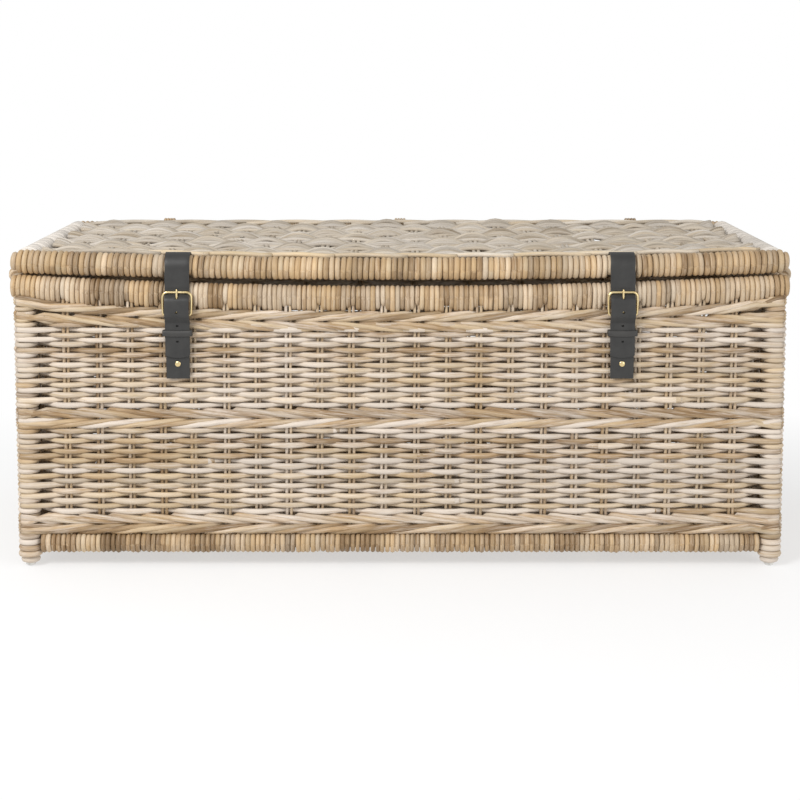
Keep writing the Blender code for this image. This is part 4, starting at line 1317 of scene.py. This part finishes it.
def add_rivets(side, x):
    """Domed brass rivets, each peened over a washer or a flat head behind."""
    def place(name, node, body, profile):
        """The trunk's pieces point backwards from their front ends, the lid's forwards."""
        low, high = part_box(node)
        piece = turned(name, profile, 24, BRASS)
        piece.rotation_euler = (math.pi / (-2 if body == "trunk" else 2), 0, 0)
        piece.location = (x, low.y if body == "trunk" else high.y, (low.z + high.z) / 2)
        finish_piece(piece, body, [node])

    for node, body in ((f"strap_rivet_{side}", "trunk"), (f"lid_strap_rivet_{side}", "lid")):
        length = size(node).y
        turns = np.radians(np.linspace(90, 12, 8)[1:])
        dome = [(RIVET_HEAD_R * math.cos(a), 0.0016 * (1 - math.sin(a))) for a in turns]
        place(f"rivet_{node}", node, body, [
            (0.0, 0.0), *dome, (RIVET_HEAD_R, 0.0018), (0.0016, 0.0018),
            (0.0016, length - 0.0010), (0.0030, length - 0.0009), (0.0024, length - 0.0002),
            (0.0, length),
        ])
    node = f"rivet_washer_{side}"
    depth = size(node).y
    place(f"washer_{side}", node, "trunk", [
        (0.0, 0.0), (0.0057, 0.0), (0.006, 0.0003), (0.006, depth - 0.0003), (0.0057, depth),
        (0.0, depth),
    ])


for strap_side in SIDES:
    for add_part in (add_lid_strap, add_billet, add_chape, add_keeper, add_buckle, add_rivets):
        add_part(strap_side, middle(f"billet_{strap_side}").x)


# ---- camera, light and floor -------------------------------------------------------------------
def add_camera():
    """Straight in front, a little above the lid, tipped down and shifted to frame the trunk."""
    data = bpy.data.cameras.new("camera")
    data.lens = 74.75
    data.sensor_width = 36.0
    data.shift_y = -0.22
    camera = new_object("camera", data)
    camera.location = (0.0, -2.780, 0.797)
    camera.rotation_euler = (math.radians(90 - 5.75), 0, 0)
    bpy.context.scene.camera = camera


def add_light(name, place, target, size, power):
    data = bpy.data.lights.new(name, "AREA")
    data.shape = "RECTANGLE"
    data.size, data.size_y = size
    data.energy = power
    lamp = new_object(name, data)
    lamp.location = place
    lamp.rotation_euler = (Vector(target) - Vector(place)).to_track_quat("-Z", "Y").to_euler()


FLOOR_GLOW = 0.55
SKY_STRENGTH = 0.65


def add_studio():
    scene = bpy.context.scene
    scene.view_settings.view_transform = "Standard"
    world = bpy.data.worlds.new("studio")
    world.use_nodes = True
    nodes = Nodes(world.node_tree)
    background = world.node_tree.nodes["Background"]
    background.inputs["Color"].default_value = (1.0, 1.0, 1.0, 1.0)
    rays = nodes.add("LightPath", {}).outputs["Is Camera Ray"]
    strength = nodes.maths("MULTIPLY_ADD", rays, 1 - SKY_STRENGTH, SKY_STRENGTH)
    nodes.put(background.inputs["Strength"], strength)
    scene.world = world
    add_light("key", (-1.8, -2.4, 2.4), (0, 0, 0.25), (1.2, 1.2), 80)
    add_light("fill", (2.2, -2.2, 1.2), (0, 0, 0.25), (2.0, 2.0), 22)
    material, nodes = new_material("floor")
    place = nodes.place()
    soft = nodes.noise(place, 2.0)
    colour = nodes.ramp(soft, [(0.0, (0.90, 0.90, 0.90)), (1.0, (0.93, 0.93, 0.93))])
    shader = nodes.surface(colour, 0.9)
    glow = nodes.add("Emission", {"Strength": 1.0})
    # Away from the trunk the floor glows more and more, so that it fades into the backdrop.
    far = nodes.add("VectorMath", {0: place}, operation="LENGTH").outputs["Value"]
    share = nodes.maths("SUBTRACT", far, 0.75)
    share = nodes.maths("MULTIPLY_ADD", share, 0.9, FLOOR_GLOW, clamp=True)
    share = nodes.maths("MAXIMUM", share, FLOOR_GLOW)
    mixed = nodes.add("MixShader", {0: share, 1: shader.outputs[0], 2: glow.outputs[0]})
    nodes.put(material.node_tree.nodes["Material Output"].inputs["Surface"], mixed.outputs[0])
    mesh = bpy.data.meshes.new("floor")
    sheet = bmesh.new()
    bmesh.ops.create_grid(sheet, x_segments=1, y_segments=1, size=40.0)
    sheet.to_mesh(mesh)
    sheet.free()
    floor = show("floor", mesh, material)


add_camera()
add_studio()
